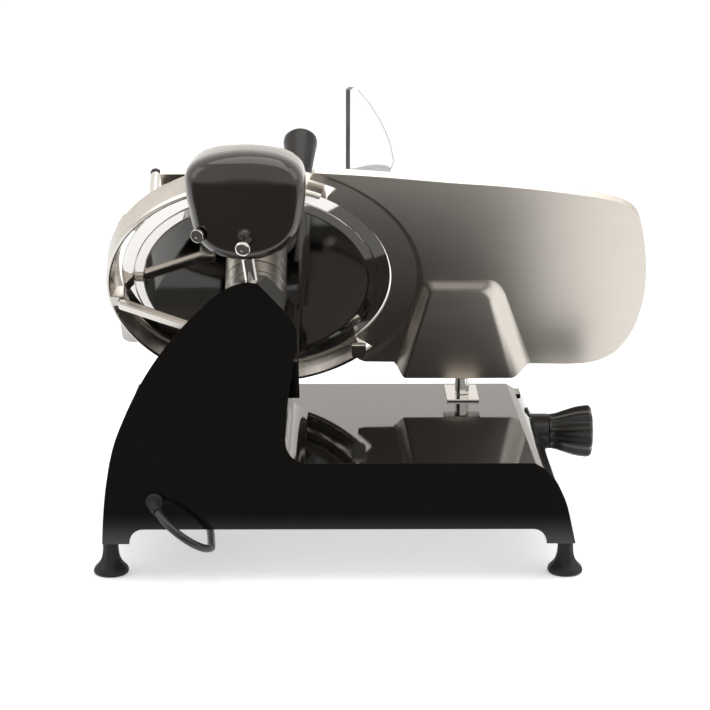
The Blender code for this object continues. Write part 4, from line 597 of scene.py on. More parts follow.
leadSetting = {"exitX": -0.084, "exitZ": 0.076, "radius": 0.0035, "gap": 0.0003, "straight": 0.0040,
               "turnRadius": 0.0287, "across": (0.80, -0.60), "reliefAngle": 38.0, "afterRelief": 0.008,
               "coilCentre": (-0.030, 0.372), "coilOuter": 0.0455, "coilPitch": 0.0078,
               "turns": 3, "perTurn": 24,
               "route": [(-0.0370, 0.0300, 0.0380), (-0.0420, 0.0700, 0.0335), (-0.0455, 0.1100, 0.0257),
                         (-0.0475, 0.1500, 0.0160), (-0.0480, 0.1850, 0.0088), (-0.0440, 0.2150, 0.0050),
                         (-0.0350, 0.2450, 0.0039), (-0.0210, 0.2750, 0.0038), (-0.0060, 0.3010, 0.0038),
                         (0.0070, 0.3230, 0.0038), (0.0140, 0.3420, 0.0038)]}


def leadBend(angle):
    s = leadSetting
    across = s["turnRadius"] * (1.0 - math.cos(angle))
    return Vector((s["exitX"] + s["across"][0] * across, -s["straight"] - s["turnRadius"] * math.sin(angle),
                   s["exitZ"] + s["across"][1] * across))


def coilPath():
    s = leadSetting
    cx, cy = s["coilCentre"]
    perTurn = s["perTurn"]
    inward = s["turns"] * perTurn
    outward = s["turns"] * perTurn + perTurn // 4
    climb = perTurn // 2
    floorHeight = s["radius"] + 0.0003
    points = []
    for k in range(inward + outward + 1):
        angle = 2.0 * math.pi * k / perTurn
        if k <= inward - climb // 2:
            radius = s["coilOuter"] - s["coilPitch"] * k / perTurn
            height = floorHeight
        elif k <= inward + climb // 2:
            share = (k - inward + climb // 2) / climb
            turned = (inward - climb / 2) / perTurn
            radius = s["coilOuter"] - s["coilPitch"] * (turned + 0.2 * math.sin(math.pi * share))
            height = floorHeight + s["coilPitch"] * (0.5 - 0.5 * math.cos(math.pi * share))
        else:
            beyond = (k - inward - climb // 2) / perTurn
            radius = s["coilOuter"] - s["coilPitch"] * ((inward - climb / 2) / perTurn - beyond)
            height = floorHeight + s["coilPitch"]
        points.append((cx + radius * math.cos(angle), cy + radius * math.sin(angle), height))
    first, last = points[0], points[-1]
    points.insert(0, (first[0], first[1] - 2.2 * s["radius"], first[2]))
    points.append((last[0] - 1.5 * s["radius"], last[1], last[2]))
    points.append((last[0] - 4.2 * s["radius"], last[1], last[2]))
    return points


def makeLead():
    s = leadSetting
    angle = math.radians(s["reliefAngle"])
    leaving = Vector((s["across"][0] * math.sin(angle), -math.cos(angle), s["across"][1] * math.sin(angle)))
    start = leadBend(angle) + leaving * s["gap"]
    shift = leaving * (s["gap"] + s["afterRelief"])
    bend = [tuple(leadBend(angle + (math.pi - angle) * k / 10) + shift) for k in range(11)]
    coil = coilPath()
    path = [tuple(start)] + curveThrough(bend + s["route"] + coil, 3)
    deselectAll()
    bpy.ops.curve.primitive_bezier_curve_add()
    lead = namedPiece("mainsLead")
    curve = lead.data
    curve.splines.clear()
    line = curve.splines.new('POLY')
    line.points.add(len(path) - 1)
    for point, place in zip(line.points, path):
        point.co = (*(toRow @ Vector(place)), 1.0)
    curve.bevel_depth = s["radius"]
    curve.bevel_resolution = 4
    curve.use_fill_caps = True
    length = sum((Vector(b) - Vector(a)).length for a, b in zip(path, path[1:]))
    curve.materials.append(cordRubber)
    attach(lead, bodyOfNode["power_cord"])
    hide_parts("power_cord", "cord_coil")
    print(f"mains lead {length:.3f} m")
    return lead, length, tuple(toRow @ start)


lead, leadLength, leadExit = makeLead()


# Base casting with its column

baseSetting = {"top": 0.110, "underside": 0.050, "legBottom": 0.0367, "legArch": 0.0120, "legDepth": 0.056,
               "archLeft": -0.1065, "archRight": 0.2595, "archSlope": 0.0002, "depth": 0.288,
               "left": -0.1305, "right": 0.285, "wall": 0.006, "edge": 0.0045, "endTaper": 0.0045,
               "mouth": (0.043, 0.047, 0.016), "postSlot": ((0.190, 0.2170), (0.204, 0.2470)),
               "armSlot": ((-0.052, 0.064), (0.217, 0.084)), "barLugs": (-0.1150, 0.2480),
               "guideLugs": (0.1960, 0.2565), "motor": (-0.0450, -0.0620), "motorLugs": 0.0360,
               "bearing": 0.0243, "postHole": 0.0060, "barHole": 0.0071, "guideHole": 0.0061,
               "glandHole": 0.0055,
               "pivot": 0.036, "narrowing": 0.18, "drop": 0.05, "columnDistance": 0.0690,
               "leftEdge": [(-0.1305, 0.0367), (-0.1292, 0.060), (-0.1265, 0.086), (-0.1225, 0.110)],
               "columnLeft": [(-0.1225, 0.110), (-0.115, 0.136), (-0.094, 0.181), (-0.067, 0.220),
                              (-0.033, 0.2555), (-0.014, 0.2675)],
               "columnRoof": [(-0.014, 0.2675), (-0.003, 0.2705), (0.008, 0.2695)],
               "columnRight": [(0.030, 0.2465), (0.0385, 0.2355), (0.0418, 0.2230), (0.0400, 0.2110),
                               (0.0335, 0.167), (0.0310, 0.140), (0.0312, 0.1265), (0.0345, 0.1180),
                               (0.0400, 0.1130), (0.0480, 0.110)],
               "rightEdge": [(0.2480, 0.110), (0.2570, 0.1045), (0.2660, 0.0950), (0.2715, 0.0850),
                             (0.2770, 0.0715), (0.2812, 0.0540), (0.285, 0.0367)]}


def depthAtHeight(z, distance):
    # Depth of the plane that lies so far in front of the blade's plane
    return (bladeSetting["centreY"] - (z - bladeSetting["centreZ"] + sinTilt * distance) * sinTilt / cosTilt
            - cosTilt * distance)


def insetOutline(outline, distance):
    result = []
    count = len(outline)
    for i in range(count):
        before, here, after = (Vector(outline[(i + k) % count]) for k in (-1, 0, 1))
        first = (here - before).normalized()
        second = (after - here).normalized()
        middle = Vector((-first.y, first.x)) + Vector((-second.y, second.x))
        middle = middle / max(middle.length_squared / 2.0, 0.5)
        result.append(tuple(here + middle * distance))
    return result


def lowOutline(fine):
    s = baseSetting
    left = curveThrough(s["leftEdge"], fine)
    right = curveThrough(s["rightEdge"], fine)
    spring = s["underside"] - s["legArch"]
    arch = s["legArch"]
    archLeft = arcPoints((s["archLeft"] + arch, spring), arch, math.pi, math.pi / 2, 10)
    archLeft.insert(0, (s["archLeft"] - s["archSlope"], s["legBottom"]))
    archRight = arcPoints((s["archRight"] - arch, spring), arch, math.pi / 2, 0.0, 10)
    archRight.append((s["archRight"] + s["archSlope"], s["legBottom"]))
    return ([(s["left"], s["legBottom"])] + archLeft + archRight + right[::-1]
            + [(s["leftEdge"][-1][0] + s["edge"], s["top"])] + left[::-1][:-1])


def leaned(outline, y):
    shift = baseSetting["endTaper"] * y / baseSetting["depth"]
    return [(x - shift if x > 0.24 else x, y, z) for x, z in outline]


def columnOutlines(fine):
    s = baseSetting
    left = curveThrough(s["columnLeft"], fine)[::-1]
    roof = curveThrough(s["columnRoof"], fine)[::-1]
    right = curveThrough(s["columnRight"], fine)[::-1]
    sunk = s["top"] - 0.008
    front = [(left[-1][0] + 0.001, sunk), (right[0][0], sunk)] + right + roof + left[1:]
    back = []
    for x, z in front:
        share = max(z - s["top"], 0.0) / 0.16
        low = s["top"] + (z - s["top"]) * (1.0 - s["drop"]) if z > s["top"] else z
        near = s["pivot"] + (x - s["pivot"]) * (1.0 - s["narrowing"] * min(1.0, 0.4 + share))
        back.append((near if x < s["pivot"] else x, low))
    return front, back


def dialPlace():
    s = dialSetting
    return (Matrix.Translation((s["centre"][0], knobSetting["y"], s["centre"][1]))
            @ Matrix.Rotation(math.radians(90 - s["tilt"]), 4, 'Y'))


knobSetting = {"y": 0.2194, "z": 0.0795, "start": 0.2800, "end": 0.3230, "neck": 0.0171, "rim": 0.0258,
               "lobes": 10, "depth": 0.085, "shaft": 0.0060}
dialSetting = {"centre": (0.2710, 0.0697), "radius": 0.0346, "tilt": 23.4, "thickness": 0.0026,
               "teeth": 26, "toothDepth": 0.04, "bushStart": 0.2590}
switchSetting = {"centre": (0.27465, 0.060, 0.0655), "tilt": 17.3, "turned": 0.8951,
                 "half": (0.0150, 0.0250), "lip": 0.0040, "button": 0.0085, "apart": 0.0110, "gap": 0.0003}
switchPlace = (Matrix.Translation(switchSetting["centre"])
               @ Matrix.Rotation(math.radians(switchSetting["turned"]), 4, 'Z')
               @ Matrix.Rotation(math.radians(90 - switchSetting["tilt"]), 4, 'Y'))
postLean = Vector((-0.151, 0.0, 1.0))
postX = -0.0037
postLine = alongLine(postLean, (postX - postLean.x * 0.047, 0.030, 0.2553))
knobLine = alongX(0, knobSetting["y"], knobSetting["z"])
barLine = alongX(0, 0.2720, 0.0720)
guideLine = alongY(0.190, 0, 0.070)
glandLine = alongY(leadSetting["exitX"], 0, leadSetting["exitZ"])


def makeBase():
    s = baseSetting
    depth = s["depth"]
    outline = lowOutline(5)
    body = skinPiece("baseShell", [leaned(outline, 0.0), leaned(outline, depth)])
    carve(body, boxPiece("gap", (s["left"] - 0.02, s["legDepth"], s["legBottom"] - 0.02),
                         (s["right"] + 0.02, depth - s["legDepth"], s["underside"])))
    front, back = columnOutlines(6)
    column = skinPiece("column", [[(x, 0.0, z) for x, z in front],
                                  [(x, depthAtHeight(z, s["columnDistance"]), z) for x, z in back]])
    joinShape(body, column)
    roundEdges(body, s["edge"], 6, 40.0)
    # The inside: the low room, the mouth below and the room in the column
    inner = [(x, max(z, s["underside"] + 0.004))
             for x, z in insetOutline(lowOutline(2), s["wall"]) if z > s["underside"] + 0.001]
    roomy = [inner[0]]
    for point in inner[1:]:
        if math.dist(point, roomy[-1]) > 0.002:
            roomy.append(point)
    carve(body, skinPiece("room", [leaned(roomy, s["wall"]), leaned(roomy, depth - s["wall"])]))
    fromLeft, fromRight, fromFront = s["mouth"]
    carve(body, boxPiece("mouth", (s["left"] + fromLeft, fromFront, s["legBottom"] - 0.02),
                         (s["right"] - fromRight, depth - fromFront, s["underside"] + 0.010)))
    rows = [[], []]
    front, back = columnOutlines(2)
    for near, far in zip(insetOutline(front, s["wall"]), insetOutline(back, s["wall"])):
        if min(near[1], far[1]) > s["top"] + 0.002:
            rows[0].append((near[0], s["wall"] + 0.0007, near[1]))
            rows[1].append((far[0], depthAtHeight(far[1], s["columnDistance"] + s["wall"]), far[1]))
    for row in rows:
        right, left = row[0], row[-1]
        row.insert(0, (right[0], right[1], s["top"] - s["wall"] - 0.004))
        row.append((left[0], left[1], s["top"] - s["wall"] - 0.004))
    upper = skinPiece("upperRoom", rows)
    editMesh(upper, (bpy.ops.mesh.quads_convert_to_tris, {}))
    carve(body, upper)
    # Holes for the bearing housing, the gauge's post, the sharpener's post and the carriage's arm
    carve(body, rodPiece("bore", s["bearing"], 0.039, 0.078, bladeLocal))
    low, high = s["postSlot"]
    carve(body, boxPiece("postSlot", (*low, s["top"] - 0.009), (*high, s["top"] + 0.01)))
    carve(body, rodPiece("postHole", s["postHole"], -0.0003, 0.030, postLine))
    low, high = s["armSlot"]
    carve(body, boxPiece("armSlot", (low[0], depth - 0.009, low[1]), (high[0], depth + 0.01, high[1])))
    # Seats of the dial, the knob's bush, the switch and the lead's gland
    carve(body, rodPiece("dialSeat", dialSetting["radius"] + 0.0003, -0.0003, 0.03, dialPlace(), 104))
    carve(body, rodPiece("bushHole", knobSetting["neck"] - 0.0037, 0.25, 0.30, knobLine))
    carve(body, rodPiece("camRoom", 0.0253, 0.2105, 0.2225, knobLine))
    gap = switchSetting["gap"]
    high, wide = [half + gap for half in switchSetting["half"]]
    carve(body, boxPiece("switchSeat", (-high, -wide, -gap), (high, wide, 0.02), switchPlace))
    high, wide = high - switchSetting["lip"], wide - switchSetting["lip"]
    carve(body, boxPiece("switchHole", (-high, -wide, -0.02), (high, wide, 0.02), switchPlace))
    carve(body, rodPiece("glandHole", s["glandHole"], -0.01, 0.02, glandLine))
    # Lugs for the carriage's bar, the gauge's rod and the motor, on both sides of its line to the blade
    for x in s["barLugs"]:
        joinShape(body, boxPiece("lug", (x, 0.2605, 0.061), (x + 0.008, depth - 0.004, s["top"] - 0.004)))
    for y in s["guideLugs"]:
        joinShape(body, boxPiece("lug", (0.181, y, 0.060), (0.199, y + 0.005, s["top"] - 0.004)))
    motor = Vector((*s["motor"], 0.0))
    reach = Vector((motor.y, -motor.x, 0.0)).normalized() * s["motorLugs"]
    for place in (motor - reach, motor + reach):
        joinShape(body, rodPiece("lug", 0.0062, 0.072, 0.1019, bladeLocal @ Matrix.Translation(place), 24))
    carve(body, rodPiece("barHole", s["barHole"], -0.116, 0.257, barLine))
    carve(body, rodPiece("guideHole", s["guideHole"], 0.190, 0.265, guideLine))
    finishPiece(body, lacquer, toRow, "base_casting", 40.0)


makeBase()
print("base made")


# Feet: soft fluted cones on a round foot

footSetting = {"left": -0.1262, "right": 0.2792, "inset": 0.030, "rearShift": 0.0045, "flutes": 8,
               "depth": 0.05,
               "profile": [(0.0120, 0.0), (0.0138, 0.0003), (0.0152, 0.0014), (0.0159, 0.0030),
                           (0.0157, 0.0046), (0.0150, 0.0062), (0.0133, 0.0080), (0.0114, 0.0099),
                           (0.0098, 0.0122), (0.0086, 0.0150), (0.0078, 0.0180), (0.0073, 0.0215),
                           (0.0071, 0.0250), (0.0071, 0.0310), (0.0071, 0.0360), (0.0067, 0.0364)]}


def makeFeet():
    s = footSetting
    rings = []
    for radius, height in s["profile"]:
        share = min(1.0, max(0.0, (height - 0.002) / 0.006))
        rings.append(flutedRing(radius, height, s["flutes"], s["depth"] * share, 128))
    first = skinPiece("foot", rings)
    rear = baseSetting["depth"] - s["inset"]
    for name, x, y in (("foot_front_left", s["left"], s["inset"]),
                       ("foot_front_right", s["right"], s["inset"]),
                       ("foot_rear_left", s["left"], rear),
                       ("foot_rear_right", s["right"] - s["rearShift"], rear)):
        foot = copyPiece(first, name + "_soft")
        finishPiece(foot, softRubber, toRow @ Matrix.Translation((x, y, 0)), name, 50.0)
    bpy.data.objects.remove(first, do_unlink=True)


makeFeet()
dressNode("bottom_cover", plainSteel, 0.0005)
print("feet made")


# Blade, hub and bearing housing

discSetting = {"screwCircle": 0.0238, "screwFrom": 20, "screwRadius": 0.0028, "screwEnd": 0.0133,
               "blade": [(0.0190, 0.0020), (0.1120, 0.0020), (0.1160, 0.0017), (0.1190, 0.0012),
                         (0.1249, 0.0001), (0.1250, 0.0001), (0.1247, 0.0004), (0.1142, 0.0034),
                         (0.1140, 0.00335), (0.1137, 0.0030), (0.1132, 0.0030), (0.1129, 0.00345),
                         (0.1126, 0.0036), (0.1056, 0.00518), (0.1050, 0.00522), (0.1042, 0.00508),
                         (0.1035, 0.0050), (0.0190, 0.0050)],
               "hub": [(0.0088, 0.0004), (0.0187, 0.0004), (0.0187, 0.0053), (0.0285, 0.0053),
                       (0.0285, 0.0170), (0.0088, 0.0170)],
               "housing": [(0.0178, 0.0175), (0.0285, 0.0175), (0.0285, 0.0560), (0.0370, 0.0610),
                           (0.0370, 0.0687), (0.0240, 0.0687), (0.0240, 0.0740), (0.0178, 0.0740),
                           (0.0178, 0.0537), (0.0125, 0.0537), (0.0125, 0.0288), (0.0178, 0.0288)]}


def makeBlade():
    s = discSetting
    blade = turnedPiece("bladeDisc", s["blade"], 180)
    hub = turnedPiece("hubTurned", roundedOutline(s["hub"], 0.0008), 120)
    for k in range(3):
        angle = math.radians(s["screwFrom"] + 120 * k)
        toward = Vector((math.cos(angle), math.sin(angle), 0))
        place = Matrix.Translation(toward * s["screwCircle"])
        for piece in (blade, hub):
            carve(piece, rodPiece("hole", s["screwRadius"], -0.003, s["screwEnd"], place, 24))
    finishPiece(blade, bladeSteel, bladePlane, "blade", 12.0)
    finishPiece(hub, hubMetal, bladePlane, "blade_hub", 30.0)
    shell = turnedPiece("housingTurned", roundedOutline(s["housing"], 0.0009), 120)
    finishPiece(shell, hubMetal, bladePlane, "hub_housing", 30.0)


makeBlade()
for nodeName in ("blade_screw_1", "blade_screw_2", "blade_screw_3"):
    dressNode(nodeName, plainSteel, 0.0003)
print("blade made")


# Ring guard and its arm

ringSetting = {"front": 0.0160, "back": 0.0120, "from": 61.0, "to": 316.5,
               "armLeft": -0.1290, "armLow": -0.0212, "armHigh": -0.0112, "pad": (-0.1368, -0.1230, 0.0020),
               "section": [(0.1395, 0.0125), (0.1380, 0.0160), (0.1352, 0.0160), (0.1288, -0.0020),
                           (0.1280, -0.0090), (0.1300, -0.0120), (0.1370, -0.0120), (0.1395, -0.0095)]}


def makeRing():
    s = ringSetting
    section = roundedOutline(s["section"], 0.0012, 3)
    steps = 170
    rings = []
    for k in range(steps + 1):
        angle = math.radians(s["from"] + (s["to"] - s["from"]) * k / steps)
        row = []
        for r, w in section:
            slant = 0.05 * (w + s["back"]) / (s["front"] + s["back"]) * max(0.0, 1 - k / 4)
            row.append((r * math.cos(angle + slant), r * math.sin(angle + slant), w))
        rings.append(row)
    ring = skinPiece("ringGuard", rings)
    near, far, beyond = s["pad"]
    pad = boxPiece("pad", (near, s["armLow"] - beyond, 0.0020), (far, s["armHigh"] + beyond, s["front"]))
    roundEdges(pad, 0.0012)
    joinShape(ring, pad)
    outline = ([(0.1031, -0.0768), (0.0890, -0.0768)]
               + arcPoints((0.0950, -0.0900), 0.0060, math.pi, 1.5 * math.pi, 8)
               + arcPoints((0.0981, -0.0910), 0.0050, 1.5 * math.pi, 2 * math.pi, 8))
    shelf = thickPiece("endPad", outline, s["front"] - 0.0004, s["front"] + 0.0040)
    roundEdges(shelf, 0.0008, 3, 50.0)
    joinShape(ring, shelf)
    finishPiece(ring, satinCast, bladePlane, "blade_guard_ring", 30.0)
    low = s["front"] + 0.0003
    left = s["armLeft"]
    shape = [(left, low), (left + 0.0060, low), (-0.0530, 0.0466), (-0.0400, 0.0466), (-0.0400, 0.0687),
             (-0.0550, 0.0687), (-0.0550, 0.0534), (left + 0.0015, 0.0226), (left, 0.0212)]
    arm = skinPiece("ringArm", [[(x, side, w) for x, w in shape] for side in (s["armLow"], s["armHigh"])])
    roundEdges(arm, 0.0018, 4, 30.0)
    finishPiece(arm, satinCast, bladePlane, "ring_support_arm", 40.0)


lidSetting = {"disc": [(0.0, -0.0055), (0.0960, -0.0055), (0.1005, -0.0051), (0.1040, -0.0042),
                       (0.1068, -0.0024), (0.1080, -0.0002), (0.1080, 0.0008), (0.1076, 0.0012),
                       (0.1069, 0.0012), (0.1065, 0.0008), (0.1058, -0.0012), (0.1042, -0.0025),
                       (0.1025, -0.0032), (0.0990, -0.0038), (0.0950, -0.0040), (0.0, -0.0040)],
              "tongue": [(0.0900, -0.0057), (0.0900, -0.0045), (0.1050, -0.0025), (0.1100, -0.0123),
                         (0.1385, -0.0123), (0.1385, -0.0143), (0.1085, -0.0143), (0.1035, -0.0052)],
              "half": 0.0080, "angle": 152}


def makeCover():
    s = lidSetting
    disc = turnedPiece("coverDisc", s["disc"], 160)
    bent = skinPiece("tongue", [[(x, side, w) for x, w in s["tongue"]] for side in (-s["half"], s["half"])])
    roundEdges(bent, 0.0004, 2, 50.0)
    layPiece(bent, Matrix.Rotation(math.radians(s["angle"]), 4, 'Z'))
    joinShape(disc, bent)
    finishPiece(disc, satinCast, bladePlane, "blade_cover", 30.0)


makeRing()
makeCover()
# The slice deflector gets the black lacquer: a painted reflection, its black standing in for the black
# column that its steel mirrors
dressNode("slice_deflector", lacquer, 0.0005)
print("ring guard made")


# Gauge plate with its boss, post and knob

plateSetting = {"food": 0.0012, "band": 0.0025, "back": 0.0062, "cut": 0.1262, "step": 0.1500,
                "cutFrom": 58, "cutTo": -42, "overCut": 0.1425, "underCut": 0.1475,
                "corner": (0.0960, -0.1175),
                "top": [(0.056, 0.145), (0.088, 0.1425), (0.123, 0.139), (0.176, 0.1325), (0.221, 0.128),
                        (0.266, 0.1215), (0.306, 0.1140)],
                "end": [(0.306, 0.1140), (0.330, 0.1060), (0.346, 0.0920), (0.355, 0.0640), (0.3615, 0.0270),
                        (0.3645, -0.0120), (0.3630, -0.0440), (0.3580, -0.0730), (0.3480, -0.0980),
                        (0.3360, -0.1120), (0.3200, -0.1195), (0.3000, -0.1215)],
                "bossBase": [(0.1580, 0.0010), (0.2210, 0.0010), (0.2290, -0.0110), (0.2610, -0.1200),
                             (0.1330, -0.1200)],
                "bossFace": [(0.1640, -0.0070), (0.2110, -0.0070), (0.2180, -0.0150), (0.2450, -0.1200),
                             (0.1410, -0.1200)],
                "bossRise": (0.0128, 0.108), "foot": -0.1200,
                "stages": [(-0.30, -0.20), (-0.22, 0.0), (-0.12, 0.03), (0.0, 0.10), (0.12, 0.21),
                           (0.30, 0.42), (0.50, 0.64), (0.66, 0.80), (0.80, 0.905), (0.92, 0.965),
                           (1.06, 0.993), (1.22, 1.0)],
                "pad": ((-0.0180, -0.0085, 0.0190), (0.0180, 0.0110, 0.0320)),
                "cover": ((-0.0155, -0.0250, 0.0003), (0.0155, 0.0350, 0.0023)),
                "post": [(0.0, -0.0107), (0.0055, -0.0107), (0.0055, 0.0026), (0.0070, 0.0026),
                         (0.0070, 0.0187), (0.0, 0.0187)],
                "postPlace": (0.197, 0.240, baseSetting["top"])}
gaugeLocal = Matrix.Translation(plateSetting["postPlace"])
gaugePlace = toRow @ gaugeLocal


def plateOutline():
    s = plateSetting
    cutTop, cutLow = math.radians(s["cutFrom"]), math.radians(s["cutTo"])
    tip = math.atan2(s["top"][0][1], s["top"][0][0])
    low = math.atan2(s["corner"][1], s["corner"][0])
    end = curveThrough(s["end"], 6)
    top = curveThrough(s["top"], 3)
    return ([s["corner"]] + end[::-1] + top[::-1][1:]
            + arcPoints((0, 0), s["overCut"], tip, cutTop, 8)
            + arcPoints((0, 0), s["cut"], cutTop, cutLow, 90)
            + arcPoints((0, 0), s["underCut"], cutLow, low, 8)[:-1])


def makeBoss():
    # Rings from the plate up to the boss's face, with a soft fillet at the foot and at the top
    s = plateSetting
    base = roundedOutline(s["bossBase"], 0.0070, 5, (3, 4))
    face = roundedOutline(s["bossFace"], 0.0055, 5, (3, 4))
    rings = []
    for share, height in s["stages"]:
        ring = []
        for (bx, by), (fx, fy) in zip(base, face):
            x, y = bx + (fx - bx) * share, by + (fy - by) * share
            rise = s["bossRise"][0] + s["bossRise"][1] * (-0.0070 - y)
            ring.append((x, max(y, s["foot"]), s["back"] + (rise - s["back"]) * height))
        rings.append(ring)
    return skinPiece("boss", rings)


def makeGauge():
    s = plateSetting
    plate = thickPiece("gaugePlateSheet", plateOutline(), -s["food"], s["back"])
    low, high, out = s["band"], s["back"], s["step"]
    step = turnedPiece("step", [(0.0, low), (out, low), (out + 0.0010, low + 0.0003),
                                (out + 0.0050, high - 0.0004), (out + 0.0064, high + 0.0002),
                                (out + 0.0064, 0.02), (0.0, 0.02)], 240)
    carve(plate, step)
    roundEdges(plate, 0.0014, 3, 50.0)
    joinShape(plate, makeBoss())
    pad = boxPiece("pad", *s["pad"])
    roundEdges(pad, 0.0010)
    layPiece(pad, bladeLocal.inverted() @ gaugeLocal)
    joinShape(plate, pad)
    finishPiece(plate, satinPlate, bladePlane, "gauge_plate", 28.0)
    post = turnedPiece("gaugePost", roundedOutline(s["post"], 0.0005), 72)
    finishPiece(post, chrome, gaugePlace, "gauge_post", 30.0)
    cover = boxPiece("slideCover", *s["cover"])
    roundEdges(cover, 0.0005)
    carve(cover, rodPiece("hole", 0.0058, -0.01, 0.01, Matrix()))
    finishPiece(cover, chrome, gaugePlace, "slide_cover_plate", 40.0)


makeGauge()
print("gauge plate made")


# Thickness knob and dial

def makeKnob():
    s = knobSetting
    bore = s["shaft"] + 0.0003
    length = s["end"] - s["start"]
    at = lambda share: s["start"] + share * length
    points = [(s["neck"] - 0.0008, at(0.0)), (s["neck"], at(0.02)), (s["neck"] * 1.06, at(0.16)),
              (s["neck"] * 1.25, at(0.38)), (s["rim"] * 0.95, at(0.62)), (s["rim"], at(0.84)),
              (s["rim"] * 0.985, at(0.90)), (s["rim"] * 0.90, at(0.945)), (s["rim"] * 0.72, at(0.975)),
              (s["rim"] * 0.42, at(0.992)), (s["rim"] * 0.02, at(1.0))]
    rings = [flutedRing(0.0002, at(0.5), 0, 0, 240), flutedRing(bore, at(0.5), 0, 0, 240),
             flutedRing(bore, at(0.0), 0, 0, 240)]
    for radius, height in curveThrough(points, 4):
        share = min(1.0, max(0.0, (height - at(0.01)) / (0.06 * length)))
        tip = min(1.0, radius / (s["rim"] * 0.5))
        rings.append(flutedRing(radius, height, s["lobes"], s["depth"] * share * tip, 240))
    knob = skinPiece("knobFluted", rings)
    place = (toRow @ Matrix.Translation((0, s["y"], s["z"]))
             @ Matrix.Rotation(math.pi / 2, 4, 'Z') @ Matrix.Rotation(math.pi / 2, 4, 'X'))
    finishPiece(knob, mouldedBlack, place, "thickness_knob", 50.0)


def makeDial():
    s, k = dialSetting, knobSetting
    collar = rodPiece("dialTurned", k["neck"], s["bushStart"] - 0.005, k["start"] - 0.0005, knobLine, 96)
    roundEdges(collar, 0.0006, 2, 50.0)
    carve(collar, boxPiece("wall", (-0.05, -0.05, -0.05), (0.05, 0.05, 0.0001), dialPlace()))
    out, high = s["radius"], s["thickness"]
    profile = [(out - 0.0002, 0.0), (out, 0.0002), (out, high - 0.0005), (out - 0.0005, high)]
    disc = skinPiece("disc", [flutedRing(radius, height, s["teeth"], s["toothDepth"], 312)
                              for radius, height in profile])
    layPiece(disc, dialPlace())
    joinShape(collar, disc)
    joinShape(collar, rodPiece("bush", k["neck"] - 0.004, s["bushStart"], k["start"] - 0.006, knobLine))
    carve(collar, rodPiece("bore", k["shaft"] + 0.0001, 0.25, 0.29, knobLine))
    finishPiece(collar, mouldedBlack, toRow, "dial_plate", 35.0)


makeKnob()
makeDial()
print("knob made")


# Sharpener: glossy cover, back plate, post and the two spindles

coverSetting = {"outline": [(-0.0040, 0.2895), (-0.0220, 0.2925), (-0.0360, 0.3000), (-0.0450, 0.3130),
                            (-0.0490, 0.3300), (-0.0525, 0.3500), (-0.0515, 0.3660), (-0.0400, 0.3765),
                            (-0.0180, 0.3825), (0.0060, 0.3835), (0.0300, 0.3790), (0.0450, 0.3685),
                            (0.0495, 0.3520), (0.0475, 0.3300), (0.0430, 0.3130), (0.0320, 0.3000),
                            (0.0140, 0.2915)],
                "middle": (-0.0020, 0.3390), "back": 0.0192,
                "outside": [(0.02, -0.0186), (0.35, -0.0180), (0.62, -0.0168), (0.80, -0.0145),
                            (0.90, -0.0105), (0.965, -0.0040), (0.992, 0.0030), (1.0, 0.0100),
                            (1.0, 0.0300)],
                "inside": [(0.02, -0.0145), (0.60, -0.0135), (0.80, -0.0100), (0.895, -0.0020),
                           (0.94, 0.0090)],
                "post": (0.0057, 0.0490), "bracket": (0.2955, 0.3025, 0.0052)}
# Each spindle: where its head starts, which way it runs, how far, and the head's profile
stemRadius = 0.0036
spindleSetting = {"grinding": {"head": (-0.0030, -0.0400, 0.3064), "along": (0.218, 0.968, 0.124),
                               "reach": 0.1395,
                               "profile": [(0.0, 0.0), (0.0040, 0.0), (0.0052, 0.0003), (0.0061, 0.0010),
                                           (0.0064, 0.0020), (0.0060, 0.0030), (0.0050, 0.0040),
                                           (0.0041, 0.0050), (stemRadius, 0.0060)]},
                  "deburring": {"head": (-0.0419, -0.0200, 0.3140), "along": (0.373, 0.922, 0.101),
                                "reach": 0.1225,
                                "profile": [(0.0, 0.0), (0.0050, 0.0), (0.0056, 0.0003), (0.0059, 0.0009),
                                            (0.0059, 0.0038), (0.0056, 0.0043), (0.0044, 0.0048),
                                            (0.0038, 0.0054), (stemRadius, 0.0060)]}}


def coverRing(share, depth):
    s = coverSetting
    cx, cz = s["middle"]
    ring = []
    for x, z in curveThrough(s["outline"], 8, closed=True):
        px, pz = cx + (x - cx) * share, cz + (z - cz) * share
        ring.append((px, depth if depth is not None else depthAtHeight(pz, s["back"]), pz))
    return ring


